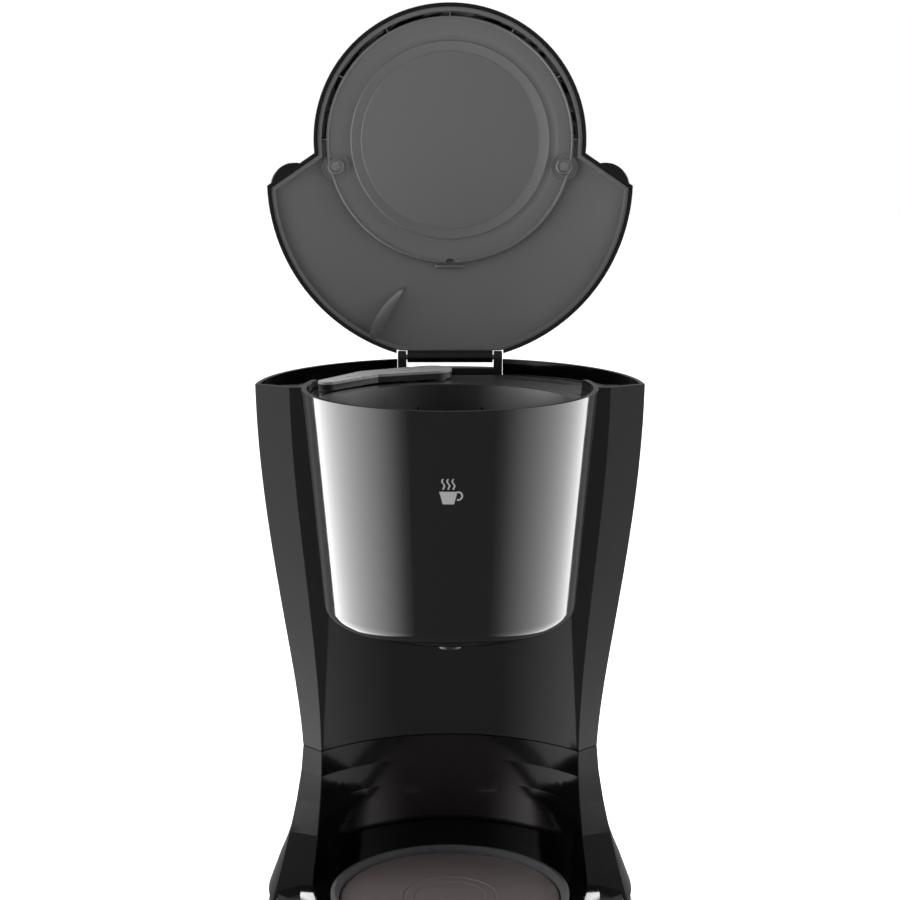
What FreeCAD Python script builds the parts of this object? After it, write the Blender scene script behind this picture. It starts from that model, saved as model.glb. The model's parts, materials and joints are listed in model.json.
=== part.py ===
"""Drip coffee maker with a rear water tank, a lift-out filter basket and a hinged lid.

Millimetres. +Z is up, -Y is the front. The origin is on the surface the machine stands on,
under the brewing axis, which is also the middle of the hotplate. The lid stands open.
"""
import FreeCAD, Part
import Sketcher
import math
import os
import re
from FreeCAD import Placement, Rotation, Vector

SIZES = [
    # general
    ("wall", 2.5, "wall of the large mouldings"),
    ("seat_gap", 0.3, "clearance where a loose piece seats"),
    ("joint_seam", 0.6, "visible seam between base and column"),
    # column: three outlines, at the top, at the waist and at the deck of the base
    ("top_level", 320.0, "top edge of the column"),
    ("top_half", 105.0, "half width across the wings at the top"),
    ("top_corner_y", 32.0, "outer front corner of a wing at the top"),
    ("top_inner_x", 85.7, "inner front edge of a wing at the top"),
    ("top_inner_y", 20.5, "the same edge, front to back"),
    ("rear_y", 133.0, "back of the column"),
    ("waist_level", 106.0, "seam between the base and the column"),
    ("waist_half", 84.2, "half width at the waist"),
    ("waist_corner_y", 61.0, "outer front corner at the waist"),
    ("waist_inner_x", 73.0, "inner front edge at the waist"),
    ("waist_inner_y", 49.6, "the same edge, front to back"),
    ("bay_wall_y", 80.0, "back wall of the jug bay in the middle"),
    ("bay_rear_gap", 23.0, "back wall of the jug bay at the deck, clear of the hotplate"),
    ("bay_side_gap", 16.0, "side edge of the deck, clear of the hotplate"),
    ("bay_foot_edge_y", 4.0, "where that edge meets the brewing axis line"),
    ("bay_top_x", 66.0, "side edge of the bay wall under the brew housing"),
    ("bay_top_y", 60.0, "the same edge, front to back"),
    # base
    ("skirt_low", 2.5, "lower edge of the base above the floor"),
    ("skirt_r", 106.0, "widest radius of the base"),
    ("skirt_wide_level", 11.0, "height of the widest line"),
    ("skirt_mid_level", 30.0, "height where the skirt starts to round over"),
    ("skirt_mid_in", 5.2, "how far the skirt has come in there"),
    ("skirt_top_level", 40.0, "upper end of the round"),
    ("skirt_top_in", 11.5, "how far it has come in there"),
    ("deck_level", 43.0, "top of the deck"),
    ("deck_in", 24.0, "edge of the deck inside the widest line"),
    ("base_rear_y", 135.0, "back of the base"),
    # hotplate and heater
    ("plate_r", 61.0, "radius of the hotplate"),
    ("plate_top", 41.0, "top of the hotplate"),
    ("plate_sheet", 1.2, "sheet of the hotplate"),
    ("plate_skirt", 9.0, "height of its turned-down rim"),
    ("gasket_width", 3.2, "width of the silicone ring round the hotplate"),
    ("gasket_high", 7.0, "height of that ring"),
    ("heater_r", 36.0, "middle radius of the horseshoe heater"),
    ("heater_width", 11.0, "width of its extrusion"),
    ("heater_high", 21.0, "height of its extrusion"),
    ("heater_leg", 40.0, "length of its straight legs"),
    ("spigot_r", 4.4, "water spigots of the heater"),
    ("spigot_long", 12.0, "length of those spigots"),
    ("spigot_drop", 15.5, "spigot middle below the top of the heater"),
    ("clamp_wide", 14.0, "width of the heater clamp"),
    ("clamp_sheet", 1.5, "sheet of the heater clamp"),
    ("thermostat_r", 8.0, "radius of the thermostat"),
    ("thermostat_high", 7.0, "height of the thermostat"),
    ("fuse_r", 2.2, "sleeve radius of a thermal fuse"),
    ("fuse_long", 24.0, "length of a fuse sleeve"),
    ("fuse_apart", 12.0, "spacing of the two fuses"),
    # under side
    ("cover_sheet", 2.5, "sheet of the bottom cover"),
    ("foot_r", 8.0, "radius of a rubber foot"),
    ("foot_stem_r", 3.0, "stem of a foot through the cover"),
    ("foot_front_x", 62.0, "front feet, left and right"),
    ("foot_front_y", -58.0, "front feet, front to back"),
    ("foot_back_x", 66.0, "back feet, left and right"),
    ("foot_back_y", 88.0, "back feet, front to back"),
    ("screw_r", 1.8, "thread of a self-tapping screw"),
    ("screw_head_r", 3.4, "head of that screw"),
    ("screw_head_high", 2.0, "height of its head"),
    ("screw_long", 14.0, "length under the head"),
    ("boss_r", 4.2, "screw boss"),
    ("cover_screw_x", 80.0, "cover screws, left and right"),
    ("cover_screw_front_y", -20.0, "front cover screws"),
    ("cover_back_side", 6.0, "back cover screws, left and right, inside the hotplate's radius"),
    ("cover_back_in", 13.0, "the same screws, front to back, inside that radius"),
    # switch, lead and terminals
    ("pod_wide", 32.0, "switch pod on the front of the base"),
    ("pod_high", 22.0, "height of the pod"),
    ("pod_front_y", -108.0, "flat front of the pod"),
    ("pod_deep", 14.0, "depth of the pod"),
    ("pod_level", 20.5, "middle of the pod"),
    ("frame_wide", 26.0, "outside of the switch frame"),
    ("frame_high", 16.0, "height of the switch frame"),
    ("frame_deep", 18.0, "depth of the switch frame behind the front"),
    ("flange_out", 1.6, "bezel of the frame round its opening"),
    ("flange_sheet", 1.4, "thickness of that bezel"),
    ("rocker_wide", 20.0, "width of the rocker"),
    ("rocker_high", 10.6, "height of the rocker"),
    ("rocker_pin_r", 1.3, "pivot stubs of the rocker"),
    ("rocker_tilt", 9.0, "lean of the rocker either side of level"),
    ("blade_long", 8.0, "length of a switch blade"),
    ("lead_r", 3.5, "radius of the mains lead the gland takes"),
    ("gland_r", 6.5, "radius of the gland in the wall"),
    ("gland_flange_r", 9.0, "flange of the gland"),
    ("gland_long", 16.0, "length of the gland outside"),
    ("gland_level", 20.0, "height of the gland"),
    ("gland_pad", 26.0, "flat pad in the back wall round the gland"),
    ("gland_pad_deep", 7.0, "depth of that pad"),
    ("terminal_y", 108.0, "terminal block, front to back"),
    ("terminal_wide", 30.0, "width of the terminal block"),
    ("terminal_deep", 16.0, "depth of the terminal block"),
    ("terminal_high", 13.0, "height of the terminal block"),
    # water tank and pipes
    ("tank_floor", 118.0, "underside of the tank"),
    ("tank_top_drop", 9.0, "top edge of the tank below the column's"),
    ("tank_front_top", 70.0, "front wall of the tank at the top"),
    ("tank_front_low", 85.0, "front wall of the tank at its floor"),
    ("tank_wall", 2.0, "wall of the tank"),
    ("tank_gap", 1.0, "gap between the tank and the column"),
    ("inlet_x", 36.0, "cold water pipe, left and right"),
    ("inlet_y", 106.0, "cold water pipe, front to back"),
    ("nipple_r", 4.4, "outlet nipple of the tank"),
    ("nipple_long", 9.0, "length of that nipple"),
    ("pipe_bore", 2.8, "bore radius of nipples and risers"),
    ("hose_r", 6.6, "outside of the silicone hoses"),
    ("hose_bend", 24.0, "bend of the hoses"),
    ("valve_r", 9.0, "check valve body"),
    ("valve_high", 20.0, "height of the check valve body"),
    ("ball_r", 3.4, "check valve ball"),
    ("riser_x", -10.0, "riser and arm pivot, left and right"),
    ("riser_back", 8.0, "riser and arm pivot behind the jug bay at the deck"),
    ("riser_r", 4.4, "outside of the riser"),
    ("riser_low", 92.0, "lower end of the riser"),
    ("riser_top_drop", 2.0, "upper end of the riser below the column's top edge"),
    ("channel_half", 9.0, "half width of the riser channel in the tank"),
    ("channel_back", 8.0, "channel behind the riser axis"),
    ("clip_sheet", 1.0, "wire of a hose clip"),
    ("clip_high", 5.0, "height of a hose clip"),
    # deck behind the brew housing
    ("shelf_drop", 6.0, "upper deck below the column's top edge"),
    ("shelf_sheet", 2.5, "sheet of the upper deck"),
    ("shelf_back_y", 68.0, "front edge of the tank opening"),
    ("shelf_ring_wide", 15.5, "width of the deck behind the brew housing"),
    ("shelf_open_x", 78.0, "half width of the free sweep of the arm"),
    ("shelf_open_y", 34.0, "front of that sweep"),
    ("shelf_cup_gap", 0.4, "clearance of the deck round the brew housing"),
    ("shelf_mid_half", 30.0, "half width of the middle tongue of the deck"),
    ("shelf_tongue", 12.0, "rear edge of that tongue behind the riser"),
    ("hub_boss_r", 8.5, "boss under the arm round the riser"),
    # level window
    ("window_y", 74.0, "front edge of the level window"),
    ("window_wide", 13.0, "width of the level window"),
    ("window_low", 140.0, "lower end of the level window"),
    ("window_top_drop", 30.0, "upper end of the level window below the column's top edge"),
    ("window_gap", 0.2, "clearance round the level window"),
    # brew housing
    ("cup_rim_r", 77.5, "brew housing at its rim"),
    ("cup_rim_rise", 3.6, "rim of the brew housing above the column's top edge"),
    ("cup_low_r", 66.1, "brew housing at its floor"),
    ("cup_high", 123.6, "height of the brew housing"),
    ("cup_round", 9.0, "bottom corner of the brew housing"),
    ("cup_back_y", 24.0, "where its high rim ends"),
    ("cup_gap", 5.5, "gap between the brew housing and the column at the rim"),
    ("cup_low_gap", 4.0, "the same gap at the floor"),
    ("outlet_r", 9.5, "outlet opening in the floor of the brew housing"),
    ("mount_wide", 30.0, "foot that carries the brew housing on the column"),
    # filter basket
    ("basket_rim_in", 4.1, "rim of the filter basket inside the brew housing's radius"),
    ("basket_rim_drop", 5.5, "top of that rim below the column's top edge"),
    ("basket_rim_wide", 6.9, "width of that rim"),
    ("basket_low_in", 12.1, "basket near its floor inside the brew housing's radius"),
    ("basket_wall", 1.8, "wall of the basket"),
    ("spout_r", 8.6, "spout under the basket"),
    ("spout_bore", 6.8, "bore of that spout"),
    ("spout_long", 12.0, "length of the spout"),
    ("seat_bore", 3.6, "hole that the drip stop closes"),
    ("rib_count", 12, "ribs inside the basket"),
    ("rib_deep", 1.6, "depth of a rib"),
    ("rib_wide", 1.6, "width of a rib"),
    # drip stop
    ("stem_r", 2.0, "stem of the drip stop"),
    ("button_r", 6.2, "button pushed up by the jug"),
    ("button_high", 2.6, "height of that button"),
    ("button_drop", 8.0, "button below the spout"),
    ("seal_r", 6.0, "silicone washer of the drip stop"),
    ("seal_high", 1.8, "thickness of that washer"),
    ("spring_r", 3.6, "middle radius of its spring"),
    ("spring_wire", 0.35, "wire radius of its spring"),
    ("spring_turns", 5.0, "turns of its spring"),
    ("guide_high", 2.0, "height of the guide ring"),
    # outlet arm
    ("arm_tip_from_axis", 80.5, "parked nozzle from the brewing axis"),
    ("arm_tip_angle", 146.0, "direction of the parked nozzle from that axis, degrees"),
    ("arm_bend_from_axis", 87.0, "bend of the parked arm from the brewing axis"),
    ("arm_bend_angle", 121.0, "direction of that bend, degrees"),
    ("arm_drop", 4.8, "underside of the arm below the column's top edge"),
    ("arm_high", 3.2, "height of the lower half of the arm"),
    ("arm_cap_high", 1.4, "height of the upper half of the arm"),
    ("arm_hub_r", 11.0, "hub of the arm"),
    ("arm_bend_r", 8.0, "half width of the arm at its bend"),
    ("arm_tip_r", 5.2, "nozzle end of the arm"),
    ("arm_wall", 1.2, "wall of the arm"),
    ("pivot_fit", 0.08, "running fit of the arm on the riser"),
    ("nozzle_r", 2.6, "outlet hole of the nozzle"),
    # lid
    ("hinge_y", 127.9, "lid hinge, front to back"),
    ("hinge_rise", 1.0, "lid hinge above the column's top edge"),
    ("lid_open", 100.8, "lid opening from closed, degrees"),
    ("lid_gap", 0.6, "closed lid above the column's top edge"),
    ("lid_high", 11.4, "height of the lid"),
    ("lid_front_over", 2.5, "round front of the lid beyond the brew housing"),
    ("lid_notch_angle", 6.0, "where the round front ends, degrees"),
    ("lid_overhang", 2.2, "wing corner of the lid beyond the column"),
    ("lid_corner_y", 27.5, "the same corner, front to back"),
    ("lid_rear_y", 130.4, "back of the lid's arc"),
    ("lid_trim_y", 126.2, "flat rear edge of the lid"),
    ("lid_wall", 1.9, "wall of the lid"),
    ("panel_in", 4.6, "inner panel inside the lid's outline"),
    ("panel_rise", 4.6, "inner panel above the lid's lower edge, closed"),
    ("panel_sheet", 1.6, "sheet of the inner panel"),
    ("disc_in", 7.8, "disc on the inner panel inside the lid's round front"),
    ("disc_ring", 14.2, "outer ring of that disc, up to its step"),
    ("disc_bevel", 5.6, "cone between the step and the flat middle"),
    ("disc_drop", 2.0, "disc below the panel"),
    ("disc_sheet", 0.8, "thinnest sheet of the disc, in its flat middle"),
    ("lid_screw_in", 13.0, "lid screws inside the lid's round front"),
    ("lid_screw_y", 16.0, "lid screws, front to back"),
    ("lid_boss_r", 4.7, "screw bosses of the lid"),
    ("fin_deep", 8.4, "cam fin below the panel"),
    ("fin_wide", 2.6, "thickness of the cam fin"),
    ("barrel_r", 3.2, "hinge barrel of the lid"),
    ("barrel_half", 25.0, "half length of that barrel"),
    ("pin_r", 1.5, "hinge pin"),
    ("pin_in", 9.0, "pin inside the barrel"),
    ("pin_fit", 0.06, "running fit of the pin in the barrel"),
    ("post_wide", 5.0, "hinge post"),
    ("post_gap", 0.5, "play between the barrel and a post"),
    ("bracket_drop", 15.0, "lower end of the hinge bracket below the column's top edge"),
    ("bracket_top_drop", 5.0, "its upper face between the posts, below that edge"),
    ("post_deep", 7.4, "depth of a hinge post"),
    ("post_eye_r", 3.7, "eye of a hinge post"),
    ("notch_gap", 0.6, "play of the lid round a post"),
    ("bracket_gap", 0.3, "clearance round the bracket in the column"),
]

# sizes that follow others
FOLLOWING = {
    "tank_top": "top_level - tank_top_drop",
    "riser_top": "top_level - riser_top_drop",
    "shelf_top": "top_level - shelf_drop",
    "cup_rim_level": "top_level + cup_rim_rise",
    "cup_low_level": "cup_rim_level - cup_high",
    "basket_rim_level": "top_level - basket_rim_drop",
    "arm_low": "top_level - arm_drop",
    "hinge_level": "top_level + hinge_rise",
    "lid_low": "top_level + lid_gap",
    "lid_top": "lid_low + lid_high",
    "panel_level": "lid_low + panel_rise",
    "bracket_low": "top_level - bracket_drop",
    "bracket_top": "top_level - bracket_top_drop",
    "window_top": "top_level - window_top_drop",
    "basket_rim_r": "cup_rim_r - basket_rim_in",
    "basket_mouth_r": "basket_rim_r - basket_rim_wide",
    "basket_low_r": "cup_low_r - basket_low_in",
    "shelf_ring_r": "cup_rim_r + shelf_ring_wide",
    "bay_foot_x": "plate_r + bay_side_gap",
    "bay_foot_y": "plate_r + bay_rear_gap",
    "riser_y": "bay_foot_y + riser_back",
    "shelf_mid_y": "riser_y + shelf_tongue",
    "cover_back_x": "plate_r - cover_back_side",
    "cover_screw_back_y": "plate_r - cover_back_in",
    "lid_front_r": "cup_rim_r + lid_front_over",
    "lid_screw_x": "lid_front_r - lid_screw_in",
    "lid_corner_x": "top_half + lid_overhang",
    "disc_r": "lid_front_r - disc_in",
    "disc_step_r": "disc_r - disc_ring",
    "disc_flat_r": "disc_step_r - disc_bevel",
}

doc = FreeCAD.newDocument("DripCoffeeMaker")
sheet = doc.addObject("Spreadsheet::Sheet", "Sizes")
for row, (alias, value, note) in enumerate(SIZES, 1):
    sheet.set(f"A{row}", str(value))
    sheet.set(f"B{row}", note)
    sheet.setAlias(f"A{row}", alias)
doc.recompute()
ALIASES = {alias for alias, value, note in SIZES}
SUBPARTS = []


def size(name):
    """The value that the sheet holds under this name, or the one that follows from it."""
    if name in FOLLOWING:
        start, sign, step = FOLLOWING[name].split()
        return size(start) + size(step) if sign == "+" else size(start) - size(step)
    return float(sheet.get(name))


def bound(expression):
    """The same expression with each size read from the sheet."""
    def to_cell(match):
        word = match.group()
        if word in FOLLOWING:
            return "(" + bound(FOLLOWING[word]) + ")"
        return "Sizes." + word if word in ALIASES else word
    return re.sub(r"[a-z_]+", to_cell, str(expression))


def keep(piece, label):
    """Name a finished sub-part, so that it gets its own file."""
    piece.Label = label
    SUBPARTS.append(piece)
    return piece


# ---- building blocks -------------------------------------------------------------------

def at(piece, x="0 mm", y="0 mm", z="0 mm"):
    """Bind where a piece stands."""
    for axis, expression in zip("xyz", (x, y, z)):
        piece.setExpression("Placement.Base." + axis, bound(expression))
    return piece


def cylinder(name, radius, height, x="0", y="0", z="0", along="z"):
    """A bound cylinder; along -y it grows to the front, along y to the back."""
    piece = doc.addObject("Part::Cylinder", name)
    piece.setExpression("Radius", bound(radius))
    piece.setExpression("Height", bound(height))
    turns = {"z": Rotation(), "y": Rotation(Vector(1, 0, 0), -90), "-y": Rotation(Vector(1, 0, 0), 90),
             "x": Rotation(Vector(0, 1, 0), 90), "-z": Rotation(Vector(1, 0, 0), 180)}
    piece.Placement = Placement(Vector(), turns[along])
    return at(piece, x, y, z)


def box(name, wide, deep, high, x="0", y="0", z="0"):
    """A bound box with its lower left front corner at x, y, z."""
    piece = doc.addObject("Part::Box", name)
    piece.setExpression("Length", bound(wide))
    piece.setExpression("Width", bound(deep))
    piece.setExpression("Height", bound(high))
    return at(piece, x, y, z)


def fuse(name, *pieces):
    """One solid of several."""
    joined = doc.addObject("Part::MultiFuse", name)
    joined.Shapes = list(pieces)
    joined.Refine = True
    return joined


def cut(name, base, *tools):
    """A piece with the tools taken out of it."""
    tool = tools[0] if len(tools) == 1 else fuse(name + "_tools", *tools)
    left = doc.addObject("Part::Cut", name)
    left.Base = base
    left.Tool = tool
    return left


def shaped(name, shape):
    """A piece whose shape is lofted or swept in code from the sheet's sizes."""
    piece = doc.addObject("Part::Feature", name)
    piece.Shape = shape
    return piece


def origin_plane(body, role):
    """The named origin plane of a body."""
    for feature in body.Origin.OriginFeatures:
        if feature.Role == role:
            return feature


def polygon_sketch(body, role, name, corners):
    """A closed outline on an origin plane, every corner bound to the sheet."""
    sketch = body.newObject("Sketcher::SketchObject", name)
    sketch.AttachmentSupport = [(origin_plane(body, role), "")]
    sketch.MapMode = "FlatFace"
    count = len(corners)
    start = [Vector(10 * math.cos(2 * math.pi * i / count) + 20, 10 * math.sin(2 * math.pi * i / count), 0)
             for i in range(count)]
    for i in range(count):
        sketch.addGeometry(Part.LineSegment(start[i], start[(i + 1) % count]), False)
    for i in range(count):
        sketch.addConstraint(Sketcher.Constraint("Coincident", i, 2, (i + 1) % count, 1))
    for i, (across, up) in enumerate(corners):
        for kind, value, expression in (("DistanceX", start[i].x, across), ("DistanceY", start[i].y, up)):
            index = sketch.addConstraint(Sketcher.Constraint(kind, -1, 1, i, 1, value))
            sketch.setExpression(f"Constraints[{index}]", bound(expression))
    return sketch


def turned(name, corners, x="0", y="0", z="0"):
    """A body turned about its own vertical axis from (radius, height) corners."""
    body = doc.addObject("PartDesign::Body", name)
    sketch = polygon_sketch(body, "XZ_Plane", name + "_profile", corners)
    turn = body.newObject("PartDesign::Revolution", name + "_turn")
    turn.Profile = sketch
    turn.ReferenceAxis = (sketch, ["V_Axis"])
    turn.Angle = 360
    body.Tip = turn
    return at(body, x, y, z)


def group(name, pieces):
    """Equal pieces that share one file, as separate solids."""
    compound = doc.addObject("Part::Compound", name)
    compound.Links = list(pieces)
    return compound


# ---- outlines and lofts ----------------------------------------------------------------

def smooth(part):
    """Ease from 0 to 1."""
    return part * part * (3 - 2 * part)


def arc(a, b, c):
    return Part.Arc(a, b, c).toShape()


def line(a, b):
    return Part.LineSegment(a, b).toShape()


def loft(sections, ruled=False):
    """A solid through closed outlines."""
    return Part.makeLoft(sections, True, ruled)


def inset(wire, amount):
    """The same outline moved inwards, sharp corners kept."""
    if abs(amount) < 1e-6:
        return wire
    return wire.makeOffset2D(-amount, join=2)


def column_outline(z, top, low):
    """Outline of the column at a height: rear arc, slanted wing fronts, straight front."""
    share = (z - low["z"]) / (top["z"] - low["z"])
    half = low["half"] + (top["half"] - low["half"]) * smooth(share ** 0.8)
    inner = low["inner_x"] + (top["inner_x"] - low["inner_x"]) * smooth(share)
    corner_y = low["corner_y"] + (top["corner_y"] - low["corner_y"]) * share
    inner_y = low["inner_y"] + (top["inner_y"] - low["inner_y"]) * share
    right = Vector(half, corner_y, z)
    left = Vector(-half, corner_y, z)
    inner_right = Vector(inner, inner_y, z)
    inner_left = Vector(-inner, inner_y, z)
    back = Vector(0, size("rear_y"), z)
    return Part.Wire([arc(right, back, left), line(left, inner_left),
                      line(inner_left, inner_right), line(inner_right, right)])


def column_solid(amount, low_level, top_level):
    """The full column between two heights, all its walls moved inwards by an amount."""
    top = {"z": size("top_level"), "half": size("top_half"), "corner_y": size("top_corner_y"),
           "inner_x": size("top_inner_x"), "inner_y": size("top_inner_y")}
    low = {"z": size("waist_level"), "half": size("waist_half"), "corner_y": size("waist_corner_y"),
           "inner_x": size("waist_inner_x"), "inner_y": size("waist_inner_y")}
    steps = 6
    sections = []
    for step in range(steps + 1):
        z = size("waist_level") + (size("top_level") - size("waist_level")) * step / steps
        sections.append(inset(column_outline(z, top, low), amount))
    solid = loft(sections)
    if top_level > size("top_level"):
        solid = solid.fuse(Part.Face(sections[-1]).extrude(Vector(0, 0, top_level - size("top_level"))))
    if low_level < size("waist_level"):
        solid = solid.fuse(Part.Face(sections[0]).extrude(Vector(0, 0, low_level - size("waist_level"))))
    low_cut = Part.makeBox(400, 400, 400, Vector(-200, -200, low_level - 400))
    return solid.cut(low_cut)


def bay_cut(grow):
    """The jug bay as a solid, with its back wall moved by an amount towards the back."""
    def outline(z, edge_x, edge_y, wall_y):
        right = Vector(edge_x, edge_y + grow, z)
        left = Vector(-edge_x, edge_y + grow, z)
        far_right = Vector(edge_x + grow, -200, z)
        far_left = Vector(-edge_x - grow, -200, z)
        return Part.Wire([arc(right, Vector(0, wall_y + grow, z), left), line(left, far_left),
                          line(far_left, far_right), line(far_right, right)])
    ceiling = size("cup_low_level") + size("cup_round")
    lower = outline(size("waist_level") - 5, size("waist_inner_x") - 0.6, size("waist_inner_y") + 0.4,
                    size("bay_wall_y"))
    upper = outline(ceiling, size("bay_top_x"), size("bay_top_y"), size("bay_wall_y"))
    return loft([lower, upper], True)


def cup_radius(z):
    """Outside radius of the brew housing at a height."""
    share = (z - size("cup_low_level")) / (size("cup_rim_level") - size("cup_low_level"))
    return size("cup_low_r") + (size("cup_rim_r") - size("cup_low_r")) * share


def cup_space(grow):
    """The space in the column that the brew housing stands in, with the front open."""
    low = size("cup_low_level") - 14
    high = size("top_level") + 20
    low_r = cup_radius(low) + size("cup_low_gap") + grow
    high_r = cup_radius(high) + size("cup_gap") + grow
    cone = Part.makeCone(low_r, high_r, high - low, Vector(0, 0, low))
    front = loft([
        Part.makePolygon([Vector(-low_r, 0, low), Vector(low_r, 0, low), Vector(low_r, -200, low),
                          Vector(-low_r, -200, low), Vector(-low_r, 0, low)]),
        Part.makePolygon([Vector(-high_r, 0, high), Vector(high_r, 0, high), Vector(high_r, -200, high),
                          Vector(-high_r, -200, high), Vector(-high_r, 0, high)])], True)
    return cone.fuse(front)


def column_shell_solid(amount, low_level, top_level):
    """Column without the jug bay and the brew housing's space, walls inset by an amount."""
    return column_solid(amount, low_level, top_level).cut(bay_cut(amount)).cut(cup_space(amount))


def skirt_outline(z, radius):
    """Outline of the base at a height: round front, straight sides, round back."""
    side_y = size("waist_corner_y")
    back = size("base_rear_y") - (size("skirt_r") - radius)
    front_arc = arc(Vector(-radius, 0, z), Vector(0, -radius, z), Vector(radius, 0, z))
    back_arc = arc(Vector(radius, side_y, z), Vector(0, back, z), Vector(-radius, side_y, z))
    return Part.Wire([front_arc, line(Vector(radius, 0, z), Vector(radius, side_y, z)), back_arc,
                      line(Vector(-radius, side_y, z), Vector(-radius, 0, z))])


def tray_solid(amount, below=0.0):
    """The low tray of the base, its walls and top moved inwards by an amount."""
    widest = size("skirt_r") - amount
    stations = [(size("skirt_low") - below, widest - 1.2), (size("skirt_wide_level"), widest),
                (size("skirt_mid_level") - amount * 0.3, widest - size("skirt_mid_in")),
                (size("skirt_top_level") - amount * 0.8, widest - size("skirt_top_in")),
                (size("deck_level") - amount, widest - size("deck_in"))]
    return loft([skirt_outline(z, radius) for z, radius in stations], True)


def neck_solid(amount, low_level, above=0.0):
    """The flared foot of the column down to the deck, with the bay's concave back wall."""
    waist = size("waist_level")
    deck = size("deck_level")
    stations = 5
    outer = []
    bay = []
    for step in range(stations + 1):
        share = step / stations
        z = waist + (low_level - waist) * share
        drop = (waist - z) / (waist - size("skirt_wide_level"))
        half = size("waist_half") + (size("skirt_r") - size("waist_half")) * drop ** 1.55
        ease = min(1.0, (waist - z) / (waist - deck))
        inner_x = size("waist_inner_x") + (size("bay_foot_x") - size("waist_inner_x")) * ease ** 2
        inner_y = size("waist_inner_y") + (size("bay_foot_edge_y") - size("waist_inner_y")) * ease ** 2.2
        corner_y = size("waist_corner_y") + (size("bay_foot_edge_y") - size("waist_corner_y")) * ease ** 2.2
        wall_y = size("bay_wall_y") + (size("bay_foot_y") - size("bay_wall_y")) * ease
        right = Vector(half, corner_y, z)
        left = Vector(-half, corner_y, z)
        back = Vector(0, size("rear_y") + (size("base_rear_y") - size("rear_y")) * ease, z)
        wire = Part.Wire([arc(right, back, left), line(left, Vector(-inner_x, inner_y, z)),
                          line(Vector(-inner_x, inner_y, z), Vector(inner_x, inner_y, z)),
                          line(Vector(inner_x, inner_y, z), right)])
        outer.append(inset(wire, amount))
        edge = inner_x - 0.6 + amount
        far = Vector(edge, -200, z)
        far_left = Vector(-edge, -200, z)
        end = Vector(edge, inner_y + 0.4 + amount, z)
        end_left = Vector(-edge, inner_y + 0.4 + amount, z)
        bay.append(Part.Wire([arc(end, Vector(0, wall_y + amount, z), end_left), line(end_left, far_left),
                              line(far_left, far), line(far, end)]))
    solid, bay_solid = loft(outer, True), loft(bay, True)
    if above > 0:
        solid = solid.fuse(Part.Face(outer[0]).extrude(Vector(0, 0, above)))
        bay_solid = bay_solid.fuse(Part.Face(bay[0]).extrude(Vector(0, 0, above)))
    return solid.cut(bay_solid)


def rounded_path(points, bend):
    """Straight runs joined by tangent arcs."""
    edges = []
    start = points[0]
    for before, corner, after in zip(points, points[1:], points[2:]):
        into = (corner - before).normalize()
        out = (after - corner).normalize()
        turn = into.getAngle(out)
        reach = bend * math.tan(turn / 2)
        first = corner - into * reach
        last = corner + out * reach
        middle_way = (out - into).normalize()
        middle = corner + middle_way * (bend / math.cos(turn / 2) - bend)
        edges.append(line(start, first))
        edges.append(arc(first, middle, last))
        start = last
    edges.append(line(start, points[-1]))
    return Part.Wire(edges)


def swept(points, bend, radius):
    """A round rod along a path."""
    path = rounded_path(points, bend)
    direction = (points[1] - points[0]).normalize()
    ring = Part.Wire([Part.makeCircle(radius, points[0], direction)])
    return path.makePipeShell([ring], True, False)


def capsule(start, end, start_r, end_r, z, high):
    """A tapered plate with round ends, lying flat."""
    run = end - start
    length = run.Length
    along = run.normalize()
    lean = math.asin((start_r - end_r) / length)
    heading = math.atan2(along.y, along.x)
    points = []
    for side in (1, -1):
        angle = heading + side * (math.pi / 2 - lean)
        way = Vector(math.cos(angle), math.sin(angle), 0)
        points.append((start + way * start_r, end + way * end_r))
    (left_start, left_end), (right_start, right_end) = points
    wire = Part.Wire([line(left_start, left_end), arc(left_end, end + along * end_r, right_end),
                      line(right_end, right_start), arc(right_start, start - along * start_r, left_start)])
    plate = Part.Face(wire).extrude(Vector(0, 0, high))
    plate.translate(Vector(0, 0, z))
    return plate


def lid_outline(z, amount):
    """Outline of the closed lid: round front, slanted wing edges, rear arc, flat rear edge."""
    radius = size("lid_front_r")
    angle = math.radians(size("lid_notch_angle"))
    notch = Vector(radius * math.cos(angle), radius * math.sin(angle), z)
    notch_left = Vector(-notch.x, notch.y, z)
    corner = Vector(size("lid_corner_x"), size("lid_corner_y"), z)
    corner_left = Vector(-corner.x, corner.y, z)
    half = corner.x
    rise = size("lid_rear_y") - corner.y
    rear_r = (half ** 2 + rise ** 2) / (2 * rise)
    centre_y = size("lid_rear_y") - rear_r
    trim_y = size("lid_trim_y")
    trim_x = math.sqrt(rear_r ** 2 - (trim_y - centre_y) ** 2)
    middle = math.radians(30)
    mid = Vector(rear_r * math.cos(middle), centre_y + rear_r * math.sin(middle), z)
    mid_left = Vector(-mid.x, mid.y, z)
    wire = Part.Wire([arc(notch_left, Vector(0, -radius, z), notch), line(notch, corner),
                      arc(corner, mid, Vector(trim_x, trim_y, z)),
                      line(Vector(trim_x, trim_y, z), Vector(-trim_x, trim_y, z)),
                      arc(Vector(-trim_x, trim_y, z), mid_left, corner_left), line(corner_left, notch_left)])
    return inset(wire, amount)


def opened(piece):
    """Turn a lid piece from closed to open about the hinge."""
    hinge = Vector(0, size("hinge_y"), size("hinge_level"))
    turn = Rotation(Vector(1, 0, 0), -size("lid_open"))
    piece.Placement = Placement(Vector(), turn, hinge).multiply(piece.Placement)
    return piece


# ---- base --------------------------------------------------------------------------------

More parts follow.
